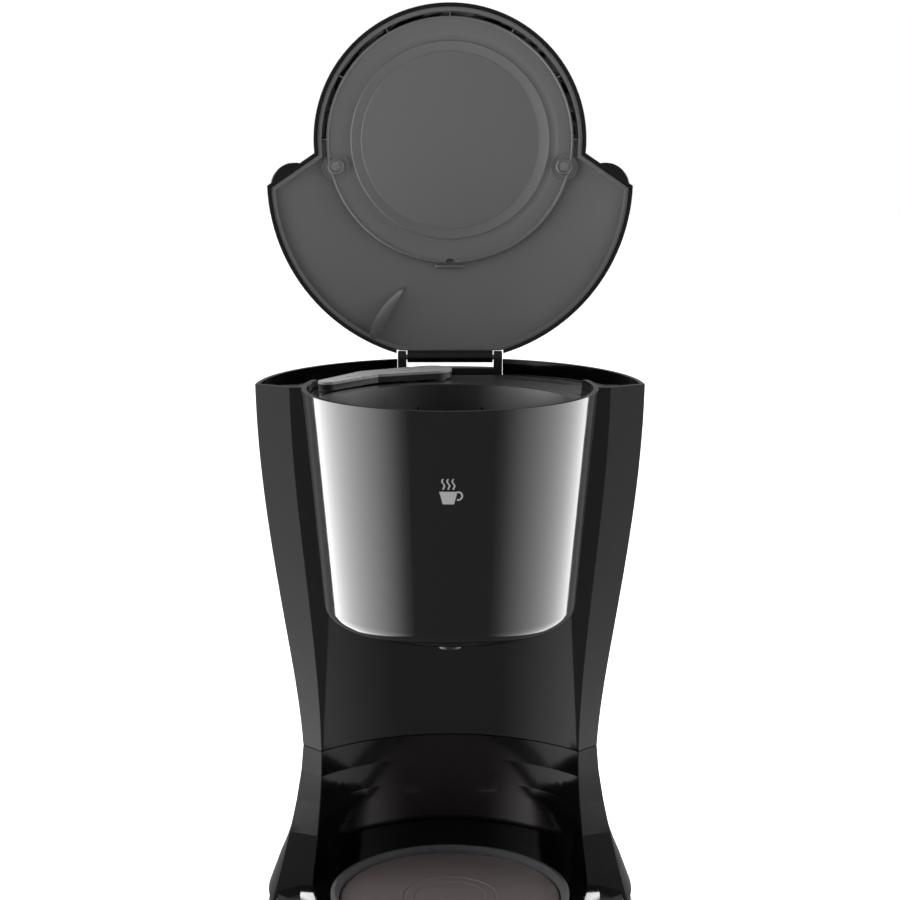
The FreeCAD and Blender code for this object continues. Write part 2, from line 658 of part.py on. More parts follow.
def make_base():
    """Tray with the switch pod and the cover bosses, and the flared neck welded on its deck."""
    wall = size("wall")
    deck = size("deck_level")
    waist = size("waist_level")
    outer = tray_solid(0).fuse(neck_solid(0, deck - 8))
    inner = tray_solid(wall, 2).fuse(neck_solid(wall, deck - 8, 5))
    shell = outer.cut(inner)
    pod = Part.makeBox(size("pod_wide"), size("pod_deep"), size("pod_high"),
                       Vector(-size("pod_wide") / 2, size("pod_front_y"),
                              size("pod_level") - size("pod_high") / 2))
    shell = shell.fuse(pod)
    frame = Part.makeBox(size("frame_wide"), size("pod_deep") + 10, size("frame_high"),
                         Vector(-size("frame_wide") / 2, size("pod_front_y") - 5,
                                size("pod_level") - size("frame_high") / 2))
    hole_r = size("plate_r") + size("gasket_width")
    plate_hole = Part.makeCylinder(hole_r, 30, Vector(0, 0, deck - 10))
    pad = size("gland_pad")
    pad_low = Vector(-pad / 2, size("base_rear_y") - size("gland_pad_deep"), size("gland_level") - pad / 2)
    shell = shell.fuse(Part.makeBox(pad, size("gland_pad_deep"), pad, pad_low))
    gland_foot = Vector(0, size("base_rear_y") - 15, size("gland_level"))
    gland_hole = Part.makeCylinder(size("gland_r"), 30, gland_foot,
                                   Vector(0, 1, 0))
    shell = shell.cut(Part.makeCompound([frame, plate_hole, gland_hole]))
    low = size("skirt_low") + size("cover_sheet") + 1.5
    for x, y in cover_screw_places():
        foot = Vector(x, y, low)
        boss = Part.makeCylinder(size("boss_r"), deck - wall / 2 - low, foot)
        bore = Part.makeCylinder(size("screw_r"), size("screw_long") + 2, foot)
        shell = shell.fuse(boss).cut(bore)
    lip = Part.makeBox(400, 400, 50, Vector(-200, -200, waist))
    shell = shell.cut(lip)
    above_deck = Part.makeBox(400, 400, waist, Vector(-200, -200, deck))
    keep(shaped("base_tray", shell.cut(above_deck).removeSplitter()), "base_tray")
    keep(shaped("base_neck", shell.common(above_deck).removeSplitter()), "base_neck")


def make_bottom_cover():
    """Flat cover inside the skirt, with cooling slots and holes for feet and screws."""
    wall = size("wall")
    low = size("skirt_low") + 1.5
    sheet_high = size("cover_sheet")
    outline = skirt_outline(low, size("skirt_r") - wall - 1.6)
    plate = Part.Face(outline).extrude(Vector(0, 0, sheet_high))
    for x, y in cover_screw_places():
        plate = plate.cut(Part.makeCylinder(size("screw_r") + 0.3, 20, Vector(x, y, 0)))
    for x, y in foot_places():
        plate = plate.cut(Part.makeCylinder(size("foot_stem_r"), 20, Vector(x, y, 0)))
    slot_long = 34
    for step in range(-3, 4):
        slot = Part.makeBox(slot_long, 4, 20, Vector(-slot_long / 2, step * 9 - 2, 0))
        plate = plate.cut(slot)
    return keep(shaped("bottom_cover", plate), "bottom_cover")


def cover_screw_places():
    """Where the four cover screws stand."""
    front = (size("cover_screw_x"), size("cover_screw_front_y"))
    back = (size("cover_back_x"), size("cover_screw_back_y"))
    return [(side * x, y) for x, y in (front, back) for side in (-1, 1)]


def foot_places():
    return [(-size("foot_front_x"), size("foot_front_y")), (size("foot_front_x"), size("foot_front_y")),
            (-size("foot_back_x"), size("foot_back_y")), (size("foot_back_x"), size("foot_back_y"))]


def make_feet():
    """Rubber feet with a stem that snaps through the cover."""
    names = ("foot_front_left", "foot_front_right", "foot_back_left", "foot_back_right")
    places = (("-foot_front_x", "foot_front_y"), ("foot_front_x", "foot_front_y"),
              ("-foot_back_x", "foot_back_y"), ("foot_back_x", "foot_back_y"))
    top = "skirt_low + 1.5"
    stem = "skirt_low + 1.5 + cover_sheet + 2.5"
    corners = [("0", "0"), ("foot_r - 1.2", "0"), ("foot_r", "1.2"), ("foot_r", top), ("foot_stem_r", top),
               ("foot_stem_r", stem + " - 2.5"), ("foot_stem_r + 0.8", stem + " - 2.5"),
               ("foot_stem_r - 0.6", stem), ("0", stem)]
    for name, (x, y) in zip(names, places):
        keep(turned(name, corners, x, y), name)


def make_cover_screws():
    """Four self-tapping screws that hold the bottom cover."""
    screws = []
    low = "skirt_low + 1.5"
    places = (("-cover_screw_x", "cover_screw_front_y"), ("cover_screw_x", "cover_screw_front_y"),
              ("-cover_back_x", "cover_screw_back_y"), ("cover_back_x", "cover_screw_back_y"))
    corners = [("0", "-screw_head_high + 1"), ("screw_head_r - 0.8", "-screw_head_high + 0.5"),
               ("screw_head_r", "0"), ("screw_r", "0"), ("screw_r", "screw_long - 2"), ("0", "screw_long")]
    for index, (x, y) in enumerate(places):
        screws.append(turned(f"cover_screw{index}", corners, x, y, low))
    return keep(group("cover_screws", screws), "cover_screws")


def make_hotplate():
    """Pressed steel plate with a turned-down rim and two shallow rings."""
    corners = [("0", "-plate_sheet - 0.4"), ("19", "-plate_sheet - 0.4"), ("20.5", "-plate_sheet"),
               ("plate_r - plate_sheet - 1.5", "-plate_sheet"),
               ("plate_r - plate_sheet", "-plate_sheet - 1.5"),
               ("plate_r - plate_sheet", "-plate_skirt"), ("plate_r", "-plate_skirt"), ("plate_r", "-1.5"),
               ("plate_r - 1.5", "0"), ("26", "0"), ("25.4", "-0.4"), ("24.6", "-0.4"), ("24", "0"),
               ("20", "0"), ("19", "-0.4"), ("0", "-0.4")]
    return keep(turned("hotplate", corners, z="plate_top"), "hotplate")


def make_gasket():
    """Silicone ring that seals the hotplate in the deck."""
    outer = "plate_r + gasket_width"
    corners = [("plate_r", "0"), (outer, "0"), (outer, "gasket_high - 0.5"),
               (outer + " + 1.2", "gasket_high - 0.5"), (outer + " + 1.2", "gasket_high + 0.6"),
               (outer + " - 1", "gasket_high + 1"), ("plate_r", "gasket_high - 0.6")]
    return keep(turned("hotplate_seal", corners, z="deck_level - gasket_high + 0.5"), "hotplate_seal")


def make_heater():
    """Horseshoe extrusion under the hotplate: heating rod above, water passage below."""
    top = "plate_top - plate_sheet"
    low = top + " - heater_high"
    ring = cut("heater_ring", cylinder("heater_outer", "heater_r + heater_width / 2", "heater_high", z=low),
               cylinder("heater_inner", "heater_r - heater_width / 2", "heater_high + 2", z=low + " - 1"))
    half = doc.addObject("Part::Common", "heater_half")
    half.Base = ring
    half.Tool = box("heater_front_half", "120", "60", "80", "-60", "-60", "0")
    pieces = [half]
    for side, sign in (("left", "-"), ("right", "")):
        edge = f"{sign}heater_r - heater_width / 2"
        leg = box(f"heater_leg_{side}", "heater_width", "heater_leg", "heater_high", edge, "-0.01", low)
        pieces.append(leg)
        pieces.append(cylinder(f"heater_spigot_{side}", "spigot_r", "spigot_long + 2", f"{sign}heater_r",
                               "heater_leg - 2", top + " - spigot_drop", "y"))
    body = fuse("heater_solid", *pieces)
    bores = []
    for side, sign in (("left", "-"), ("right", "")):
        bores.append(cylinder(f"heater_bore_{side}", "pipe_bore", "spigot_long + 12", f"{sign}heater_r",
                              "heater_leg - 10", top + " - spigot_drop", "y"))
    return keep(cut("heating_element", body, *bores), "heating_element")


def make_heater_clamp():
    """Steel strap that holds the heater up against the hotplate."""
    low = "plate_top - plate_sheet - heater_high"
    reach = "heater_r + heater_width / 2 + 8"
    strap = box("clamp_strap", f"2 * ({reach})", "clamp_wide", "clamp_sheet",
                f"-({reach})", "-clamp_wide / 2", low + " - clamp_sheet")
    pieces = [strap]
    for side, x in (("left", f"-({reach})"), ("right", f"({reach}) - clamp_sheet")):
        pieces.append(box(f"clamp_leg_{side}", "clamp_sheet", "clamp_wide", "heater_high + clamp_sheet", x,
                          "-clamp_wide / 2", low + " - clamp_sheet"))
    return keep(fuse("heater_clamp", *pieces), "heater_clamp")


def make_thermostat():
    """Snap-disc thermostat pressed to the hotplate in the middle of the horseshoe."""
    corners = [("0", "0"), ("thermostat_r", "0"), ("thermostat_r", "-thermostat_high"),
               ("thermostat_r - 2.5", "-thermostat_high"), ("thermostat_r - 2.5", "-thermostat_high - 2.5"),
               ("0", "-thermostat_high - 2.5")]
    return keep(turned("thermostat", corners, z="plate_top - plate_sheet - 0.4"), "thermostat")


def make_fuses():
    """Two sleeved thermal fuses clipped under the heater's front bend."""
    pieces = []
    for index, side in enumerate((-0.5, 0.5)):
        pieces.append(cylinder(f"fuse{index}", "fuse_r", "fuse_long", "-fuse_long / 2",
                               f"-heater_r + {side} * fuse_apart / 2",
                               "plate_top - plate_sheet - heater_high - fuse_r", "x"))
    return keep(group("thermal_fuses", pieces), "thermal_fuses")


def make_switch():
    """Rocker switch in the pod: frame, lit rocker, lamp and three blades."""
    front = "pod_front_y"
    low = "pod_level - frame_high / 2"
    outside = box("frame_block", "frame_wide", "frame_deep", "frame_high", "-frame_wide / 2", front, low)
    flange = box("frame_flange", "frame_wide + 2 * flange_out", "flange_sheet", "frame_high + 2 * flange_out",
                 "-frame_wide / 2 - flange_out", front + " - flange_sheet", low + " - flange_out")
    frame = fuse("frame_solid", outside, flange)
    opening = box("frame_opening", "rocker_wide + 1.2", "flange_sheet + 15", "rocker_high + 1.6",
                  "-rocker_wide / 2 - 0.6", front + " - flange_sheet - 1",
                  "pod_level - rocker_high / 2 - 0.8")
    holes = [cylinder("frame_pivot", "rocker_pin_r + pivot_fit", "rocker_wide + 4", "-rocker_wide / 2 - 2",
                      front + " + 3", "pod_level", "x")]
    keep(cut("switch_frame", frame, opening, *holes), "switch_frame")
    depth = 3
    turn = size("rocker_tilt")
    half = size("rocker_high") / 2
    wide = size("rocker_wide")
    profile = [Vector(0, -2.6, -half), Vector(0, -1.2, 0), Vector(0, -2.6, half), Vector(0, 1.6, half - 0.6),
               Vector(0, 4.4, 1.4), Vector(0, 4.4, -1.4), Vector(0, 1.6, -half + 0.6)]
    face = Part.Face(Part.makePolygon(profile + profile[:1]))
    rocker = face.extrude(Vector(wide, 0, 0))
    rocker.translate(Vector(-wide / 2, 0, 0))
    pin = Part.makeCylinder(size("rocker_pin_r"), wide + 3, Vector(-wide / 2 - 1.5, 0, 0), Vector(1, 0, 0))
    rocker = rocker.fuse(pin)
    piece = shaped("switch_rocker", rocker.removeSplitter())
    piece.Placement = Placement(Vector(0, size("pod_front_y") + depth, size("pod_level")),
                                Rotation(Vector(1, 0, 0), -turn))
    keep(piece, "switch_rocker")
    lamp = cylinder("switch_lamp", "1.6", "7", "-3.5", front + " + 11.5", "pod_level", "x")
    keep(lamp, "switch_lamp")
    blades = [box(f"blade{index}", "0.8", "blade_long", "4.8", f"{index} * 8 - 8.4", front + " + frame_deep",
                  "pod_level - 2.4") for index in range(3)]
    keep(group("switch_blades", blades), "switch_blades")


def make_gland():
    """Rubber gland in the back wall, open for the mains lead."""
    back = "base_rear_y"
    inside = "-gland_pad_deep - 0.6"
    corners = [("lead_r", inside + " - 2"), ("gland_r + 1.6", inside + " - 2"), ("gland_r + 1.6", inside),
               ("gland_r", inside),
               ("gland_r", "0"), ("gland_flange_r", "0"), ("gland_flange_r", "2.5"), ("gland_r - 0.6", "3.2"),
               ("lead_r + 1.2", "gland_long"), ("lead_r", "gland_long")]
    body = turned("cord_gland", corners)
    body.Placement = Placement(Vector(), Rotation(Vector(1, 0, 0), -90))
    at(body, "0", back, "gland_level")
    return keep(body, "cord_gland")


def make_terminal_block():
    """Terminal block on the bottom cover with three screw ports."""
    low = "skirt_low + 1.5 + cover_sheet"
    block = box("terminal_solid", "terminal_wide", "terminal_deep", "terminal_high", "-terminal_wide / 2",
                "terminal_y - terminal_deep / 2", low)
    ports = []
    for step in (-1, 0, 1):
        ports.append(cylinder(f"terminal_port{step + 1}", "2.4", "terminal_high",
                              f"{step} * terminal_wide / 3.2", "terminal_y", low + " + terminal_high - 6"))
    return keep(cut("terminal_block", block, *ports), "terminal_block")


# ---- column, tank and pipes --------------------------------------------------------------

def make_column():
    """Column with two wings, the bay's back wall, the hinge seat and the window's opening."""
    wall = size("wall")
    low = size("waist_level") + size("joint_seam")
    top = size("top_level")
    outer = column_shell_solid(0, low, top)
    inner = column_shell_solid(wall, low - 5, top + 5)
    shell = outer.cut(inner)
    window_high = size("window_top") - size("window_low")
    band = Part.makeBox(60, size("window_wide"), window_high,
                        Vector(-130, size("window_y"), size("window_low")))
    window = shell.common(band)
    gap = size("window_gap")
    slot = Part.makeBox(60, size("window_wide") + 2 * gap, window_high + 2 * gap,
                        Vector(-130, size("window_y") - gap, size("window_low") - gap))
    half = size("barrel_half") + size("post_gap") + size("post_wide") + size("bracket_gap")
    seat = Part.makeBox(2 * half, 30, top - size("bracket_low") + 5,
                        Vector(-half, size("hinge_y") - 4, size("bracket_low") - size("bracket_gap")))
    sweep_x, sweep_y = size("shelf_open_x"), size("shelf_open_y")
    sweep = Part.makeBox(2 * sweep_x, size("shelf_mid_y") - sweep_y, 40,
                         Vector(-sweep_x, sweep_y, size("shelf_top") - size("shelf_sheet")))
    sweep = sweep.common(column_solid(wall, low, top + 5))
    shell = shell.cut(slot).cut(seat).cut(sweep)
    keep(shaped("column_housing", shell), "column_housing")
    keep(shaped("level_window", window), "level_window")


def tank_solid(amount, low_level, top_level):
    """The tank's volume, all walls moved inwards by an amount."""
    clear = size("wall") + size("tank_gap") + amount
    body = column_solid(clear, low_level, top_level)
    front_low = size("tank_front_low") + amount
    front_top = size("tank_front_top") + amount
    z0, z1 = size("tank_floor"), size("tank_top")
    slope = (front_top - front_low) / (z1 - z0)
    y_low = front_low + slope * (low_level - z0)
    y_top = front_low + slope * (top_level - z0)
    front = Part.Face(Part.makePolygon([Vector(-200, -200, low_level - 1), Vector(-200, y_low, low_level - 1),
                                        Vector(-200, y_top, top_level + 1), Vector(-200, -200, top_level + 1),
                                        Vector(-200, -200, low_level - 1)])).extrude(Vector(400, 0, 0))
    channel_deep = 200 + size("riser_y") + size("channel_back") + amount
    channel = Part.makeBox(2 * (size("channel_half") + amount), channel_deep,
                           400, Vector(size("riser_x") - size("channel_half") - amount, -200, low_level - 5))
    above = Part.makeBox(400, 400, 100, Vector(-200, -200, top_level))
    body = body.cut(front).cut(cup_space(clear)).cut(bay_cut(clear))
    return body.cut(channel).cut(above)


def make_tank():
    """Open-topped water tank with an outlet nipple in its floor."""
    wall = size("tank_wall")
    floor, top = size("tank_floor"), size("tank_top")
    outer = tank_solid(0, floor, top)
    inner = tank_solid(wall, floor + wall, top + 10)
    tank = outer.cut(inner)
    foot = Vector(size("inlet_x"), size("inlet_y"), floor)
    down = Vector(0, 0, -1)
    nipple = Part.makeCylinder(size("nipple_r"), size("nipple_long") + 0.5, foot + Vector(0, 0, 0.5), down)
    bore = Part.makeCylinder(size("pipe_bore"), size("nipple_long") + 20, foot + Vector(0, 0, 5), down)
    return keep(shaped("water_tank", tank.fuse(nipple).cut(bore)), "water_tank")


def make_shelf():
    """Deck between the wings and round the riser; the tank is filled behind it."""
    wall = size("wall")
    top = size("shelf_top")
    low = top - size("shelf_sheet")
    clear = wall + 0.4
    sweep_x, sweep_y = size("shelf_open_x") - 0.4, size("shelf_open_y") + 0.4
    sweep = Part.makeBox(2 * sweep_x, 200, 40, Vector(-sweep_x, sweep_y, low - 10))
    slab = Part.makeBox(400, 400, size("shelf_sheet"), Vector(-200, -200, low))
    full = column_solid(clear, low, top + 1)
    inside = full.cut(cup_space(clear)).fuse(full.common(sweep)).common(slab)
    cup_room = Part.makeCylinder(cup_radius(top) + size("shelf_cup_gap"), 40, Vector(0, 0, low - 10))
    inside = inside.cut(cup_room)
    front = Part.makeBox(400, 200 + size("shelf_back_y"), 40, Vector(-200, -200, low - 10))
    tongue = Part.makeBox(2 * size("shelf_mid_half"), 200 + size("shelf_mid_y"), 40,
                          Vector(-size("shelf_mid_half"), -200, low - 10))
    ring = Part.makeCylinder(size("shelf_ring_r"), 40, Vector(0, 0, low - 10))
    deck = inside.common(front.fuse(tongue).fuse(ring))
    pivot = Vector(size("riser_x"), size("riser_y"), low)
    boss = Part.makeCylinder(size("hub_boss_r"), size("shelf_sheet") + 0.6, pivot)
    bore = Part.makeCylinder(size("riser_r"), 40, pivot - Vector(0, 0, 10))
    return keep(shaped("upper_deck", deck.fuse(boss).cut(bore)), "upper_deck")


def make_pipes():
    """Riser, check valve, hoses and their clips."""
    x, y = "riser_x", "riser_y"
    riser = cut("riser_pipe", cylinder("riser_outer", "riser_r", "riser_top - riser_low", x, y, "riser_low"),
                cylinder("riser_bore", "pipe_bore", "riser_top - riser_low + 2", x, y, "riser_low - 1"))
    keep(riser, "riser_pipe")
    top = "tank_floor - nipple_long + 6"
    valve = turned("check_valve_body", [
        ("nipple_r", "0"), ("valve_r", "0"), ("valve_r", "-valve_high"), ("nipple_r", "-valve_high"),
        ("nipple_r", "-valve_high - 8"), ("pipe_bore", "-valve_high - 8"), ("pipe_bore", "-valve_high + 2"),
        ("ball_r + 0.8", "-valve_high + 4"), ("ball_r + 0.8", "-8"), ("pipe_bore", "-7"),
        ("pipe_bore", "-6.5"), ("nipple_r", "-6.5")], "inlet_x", "inlet_y", top)
    keep(valve, "check_valve_body")
    ball = doc.addObject("Part::Sphere", "check_valve_ball")
    ball.setExpression("Radius", bound("ball_r"))
    at(ball, "inlet_x", "inlet_y", top + " - valve_high + 3.2 + ball_r")
    keep(ball, "check_valve_ball")
    valve_low = size("tank_floor") - size("nipple_long") + 6 - size("valve_high")
    spigot_level = size("plate_top") - size("plate_sheet") - size("spigot_drop")
    leg_end = size("heater_leg")
    cold = [Vector(size("inlet_x"), size("inlet_y"), valve_low),
            Vector(size("inlet_x"), size("inlet_y"), spigot_level),
            Vector(size("heater_r"), leg_end, spigot_level)]
    hot = [Vector(-size("heater_r"), leg_end, spigot_level),
           Vector(-size("heater_r"), size("riser_y"), spigot_level),
           Vector(size("riser_x"), size("riser_y"), size("riser_low") - 14),
           Vector(size("riser_x"), size("riser_y"), size("riser_low") + 12)]
    for name, points, bend, inner in (("cold_hose", cold, size("hose_bend"), size("nipple_r")),
                                      ("hot_hose", hot, size("hose_bend") * 0.75, size("spigot_r"))):
        outer = swept(points, bend, size("hose_r"))
        bore = swept([points[0] - (points[1] - points[0]).normalize() * 1] + points[1:-1] +
                     [points[-1] + (points[-1] - points[-2]).normalize() * 1], bend, inner)
        keep(shaped(name, outer.cut(bore)), name)
    clips = []
    ends = [(cold[0], Vector(0, 0, -1)), (cold[-1], Vector(0, 1, 0)), (hot[0], Vector(0, 1, 0)),
            (hot[-1], Vector(0, 0, -1))]
    for index, (end, away) in enumerate(ends):
        start = end + away * 2
        band = Part.makeCylinder(size("hose_r") + size("clip_sheet"), size("clip_high"), start, away)
        band = band.cut(Part.makeCylinder(size("hose_r"), size("clip_high"), start, away))
        clips.append(shaped(f"clip{index}", band))
    keep(group("hose_clips", clips), "hose_clips")


# ---- brew housing, basket and drip stop ---------------------------------------------------

def make_brew_housing():
    """Round tapered housing with a high front rim, open at the top and the outlet."""
    wall = size("wall")
    low, high = size("cup_low_level"), size("cup_rim_level")
    height = high - low
    outer = Part.makeCone(size("cup_low_r"), size("cup_rim_r"), height, Vector(0, 0, low))
    bottom = [edge for edge in outer.Edges
              if abs(edge.BoundBox.ZMin - low) < 0.01 and abs(edge.BoundBox.ZMax - low) < 0.01]
    outer = outer.makeFillet(size("cup_round"), bottom)
    floor = Vector(0, 0, low + wall)
    inner = Part.makeCone(size("cup_low_r") - wall, size("cup_rim_r") - wall, height, floor)
    inner_bottom = [edge for edge in inner.Edges if abs(edge.BoundBox.ZMax - low - wall) < 0.01]
    inner = inner.makeFillet(size("cup_round") - wall, inner_bottom)
    cup = outer.cut(inner)
    lowered = Part.makeBox(400, 200, 50, Vector(-200, size("cup_back_y"), size("shelf_top")))
    outlet = Part.makeCylinder(size("outlet_r"), 30, Vector(0, 0, low - 10))
    cup = cup.cut(lowered).cut(outlet)
    corner = Vector(-size("mount_wide") / 2, 40, low + size("cup_round"))
    foot = Part.makeBox(size("mount_wide"), 40, 18, corner)
    foot = foot.cut(inner).common(cup_space(0).fuse(outer))
    return keep(shaped("brew_housing", cup.fuse(foot)), "brew_housing")


def make_basket():
    """Filter basket: rim, ribbed cone, floor with a hole and a spout for the drip stop."""
    floor = "cup_low_level + wall + seat_gap"
    level = "basket_rim_level - cup_low_level - wall - seat_gap"
    corners = [("seat_bore", "0"), ("spout_bore", "0"), ("spout_bore", "-spout_long"),
               ("spout_r", "-spout_long"), ("spout_r", "0"),
               ("basket_low_r - 12", "0"), ("basket_low_r", "12"),
               ("basket_mouth_r + basket_wall", level + " - 2"), ("basket_rim_r", level + " - 2"),
               ("basket_rim_r", level), ("basket_mouth_r", level), ("basket_low_r - basket_wall", "12.6"),
               ("basket_low_r - 12.6", "basket_wall"), ("seat_bore", "basket_wall")]
    bowl = turned("basket_bowl", corners, z=floor)
    base = size("cup_low_level") + size("wall") + size("seat_gap")
    ribs = []
    count = int(size("rib_count"))
    bowl_low = size("basket_low_r") - size("basket_wall")
    flare = (size("basket_mouth_r") - bowl_low) / (size("basket_rim_level") - base - 12.6)
    low = Vector(bowl_low + flare * 4, 0, base + 12.6 + 4)
    high = Vector(size("basket_mouth_r") - flare * 12, 0, size("basket_rim_level") - 12)
    inward = Vector(-size("rib_deep"), 0, 0)
    outward = Vector(size("basket_wall") / 2, 0, 0)
    for index in range(count):
        corners = [low + outward, high + outward, high + inward, low + inward, low + outward]
        rib = Part.Face(Part.makePolygon(corners)).extrude(Vector(0, size("rib_wide"), 0))
        rib.translate(Vector(0, -size("rib_wide") / 2, 0))
        rib.rotate(Vector(), Vector(0, 0, 1), (index + 0.5) * 360 / count)
        ribs.append(rib)
    doc.recompute()
    bowl_shape = bowl.Shape.copy()
    basket = shaped("filter_basket", bowl_shape.fuse(ribs))
    return keep(basket, "filter_basket")


def make_drip_stop():
    """Sprung drip stop: stem with button, washer, guide ring and spring."""
    seat = "cup_low_level + wall + seat_gap + basket_wall"
    spout_end = "cup_low_level + wall + seat_gap - spout_long"
    rest = "seat_gap"
    seal_top = f"({seat}) + {rest} - ({spout_end}) + button_drop + seal_high"
    collar_top = seal_top + " + 1.4"
    collar_r = "stem_r + 1.6"
    corners = [("0", "0"), ("button_r", "0"), ("button_r", "button_high"), ("stem_r", "button_high"),
               ("stem_r", seal_top), (collar_r, seal_top), (collar_r, collar_top), ("0", collar_top)]
    stem = turned("drip_stop_stem", corners, z=f"{spout_end} - button_drop")
    keep(stem, "drip_stop_stem")
    ring = [("stem_r", "0"), ("seal_r", "0"), ("seal_r", "seal_high"), ("stem_r", "seal_high")]
    seal = turned("drip_stop_seal", ring, z=f"{seat} + {rest}")
    keep(seal, "drip_stop_seal")
    guide_r = "stem_r + 0.35"
    ring = [(guide_r, "0"), ("spout_bore", "0"), ("spout_bore", "guide_high"), (guide_r, "guide_high")]
    guide = turned("drip_stop_guide", ring, z=f"{spout_end} + 1")
    keep(guide, "drip_stop_guide")
    low = size("cup_low_level") + size("wall") + size("seat_gap") - size("spout_long") - size("button_drop")
    start = low + size("button_high") + size("spring_wire") + 0.2
    end = low + size("button_drop") + 1 - size("spring_wire") - 0.2
    pitch = (end - start) / size("spring_turns")
    helix = Part.makeHelix(pitch, end - start, size("spring_r"))
    wire = Part.Wire([Part.makeCircle(size("spring_wire"), Vector(size("spring_r"), 0, 0), Vector(0, 1, 0))])
    coil = Part.Wire(helix).makePipeShell([wire], True, True)
    coil.translate(Vector(0, 0, start))
    keep(shaped("drip_stop_spring", coil), "drip_stop_spring")


# ---- outlet arm ----------------------------------------------------------------------------

def arm_plate(shrink, z, high):
    """The bent outline of the parked arm as a flat plate, its edge moved inwards."""
    def from_axis(distance, angle):
        turn = math.radians(angle)
        return Vector(distance * math.cos(turn), distance * math.sin(turn), 0)
    pivot = Vector(size("riser_x"), size("riser_y"), 0)
    bend = from_axis(size("arm_bend_from_axis"), size("arm_bend_angle"))
    tip = from_axis(size("arm_tip_from_axis"), size("arm_tip_angle"))
    hub_r, bend_r, tip_r = (size(name) - shrink for name in ("arm_hub_r", "arm_bend_r", "arm_tip_r"))
    return capsule(pivot, bend, hub_r, bend_r, z, high).fuse(capsule(bend, tip, bend_r, tip_r, z, high)), tip


def make_arm():
    """Swivelling arm that carries hot water from the riser over the basket."""
    low, high, wall = size("arm_low"), size("arm_high"), size("arm_wall")
    body, tip = arm_plate(0, low, high)
    trough, tip = arm_plate(wall, low + wall, high)
    outlet = Part.makeCylinder(size("nozzle_r"), 30, tip + Vector(0, 0, low - 20))
    socket = Part.makeCylinder(size("riser_r") + size("pivot_fit"), 30,
                               Vector(size("riser_x"), size("riser_y"), low - 20))
    keep(shaped("arm_trough", body.cut(trough).cut(outlet).cut(socket)), "arm_trough")
    cap, tip = arm_plate(0, low + high, size("arm_cap_high"))
    keep(shaped("arm_cap", cap.removeSplitter()), "arm_cap")


# ---- lid -----------------------------------------------------------------------------------

def lid_solid(amount, low_level):
    """Volume under the lid's dome, moved inwards by an amount."""
    top = size("lid_top") - amount
    stations = [(low_level, 0.0), (size("lid_top") - 5.5, 0.3), (top - 1.8, 3.4), (top, 9.0)]
    return loft([lid_outline(z, amount + step) for z, step in stations], True)


FIN_PATH = ((-26, 86), (-37, 96), (-45, 108), (-39, 117))    # the cam fin's bends on the lid panel


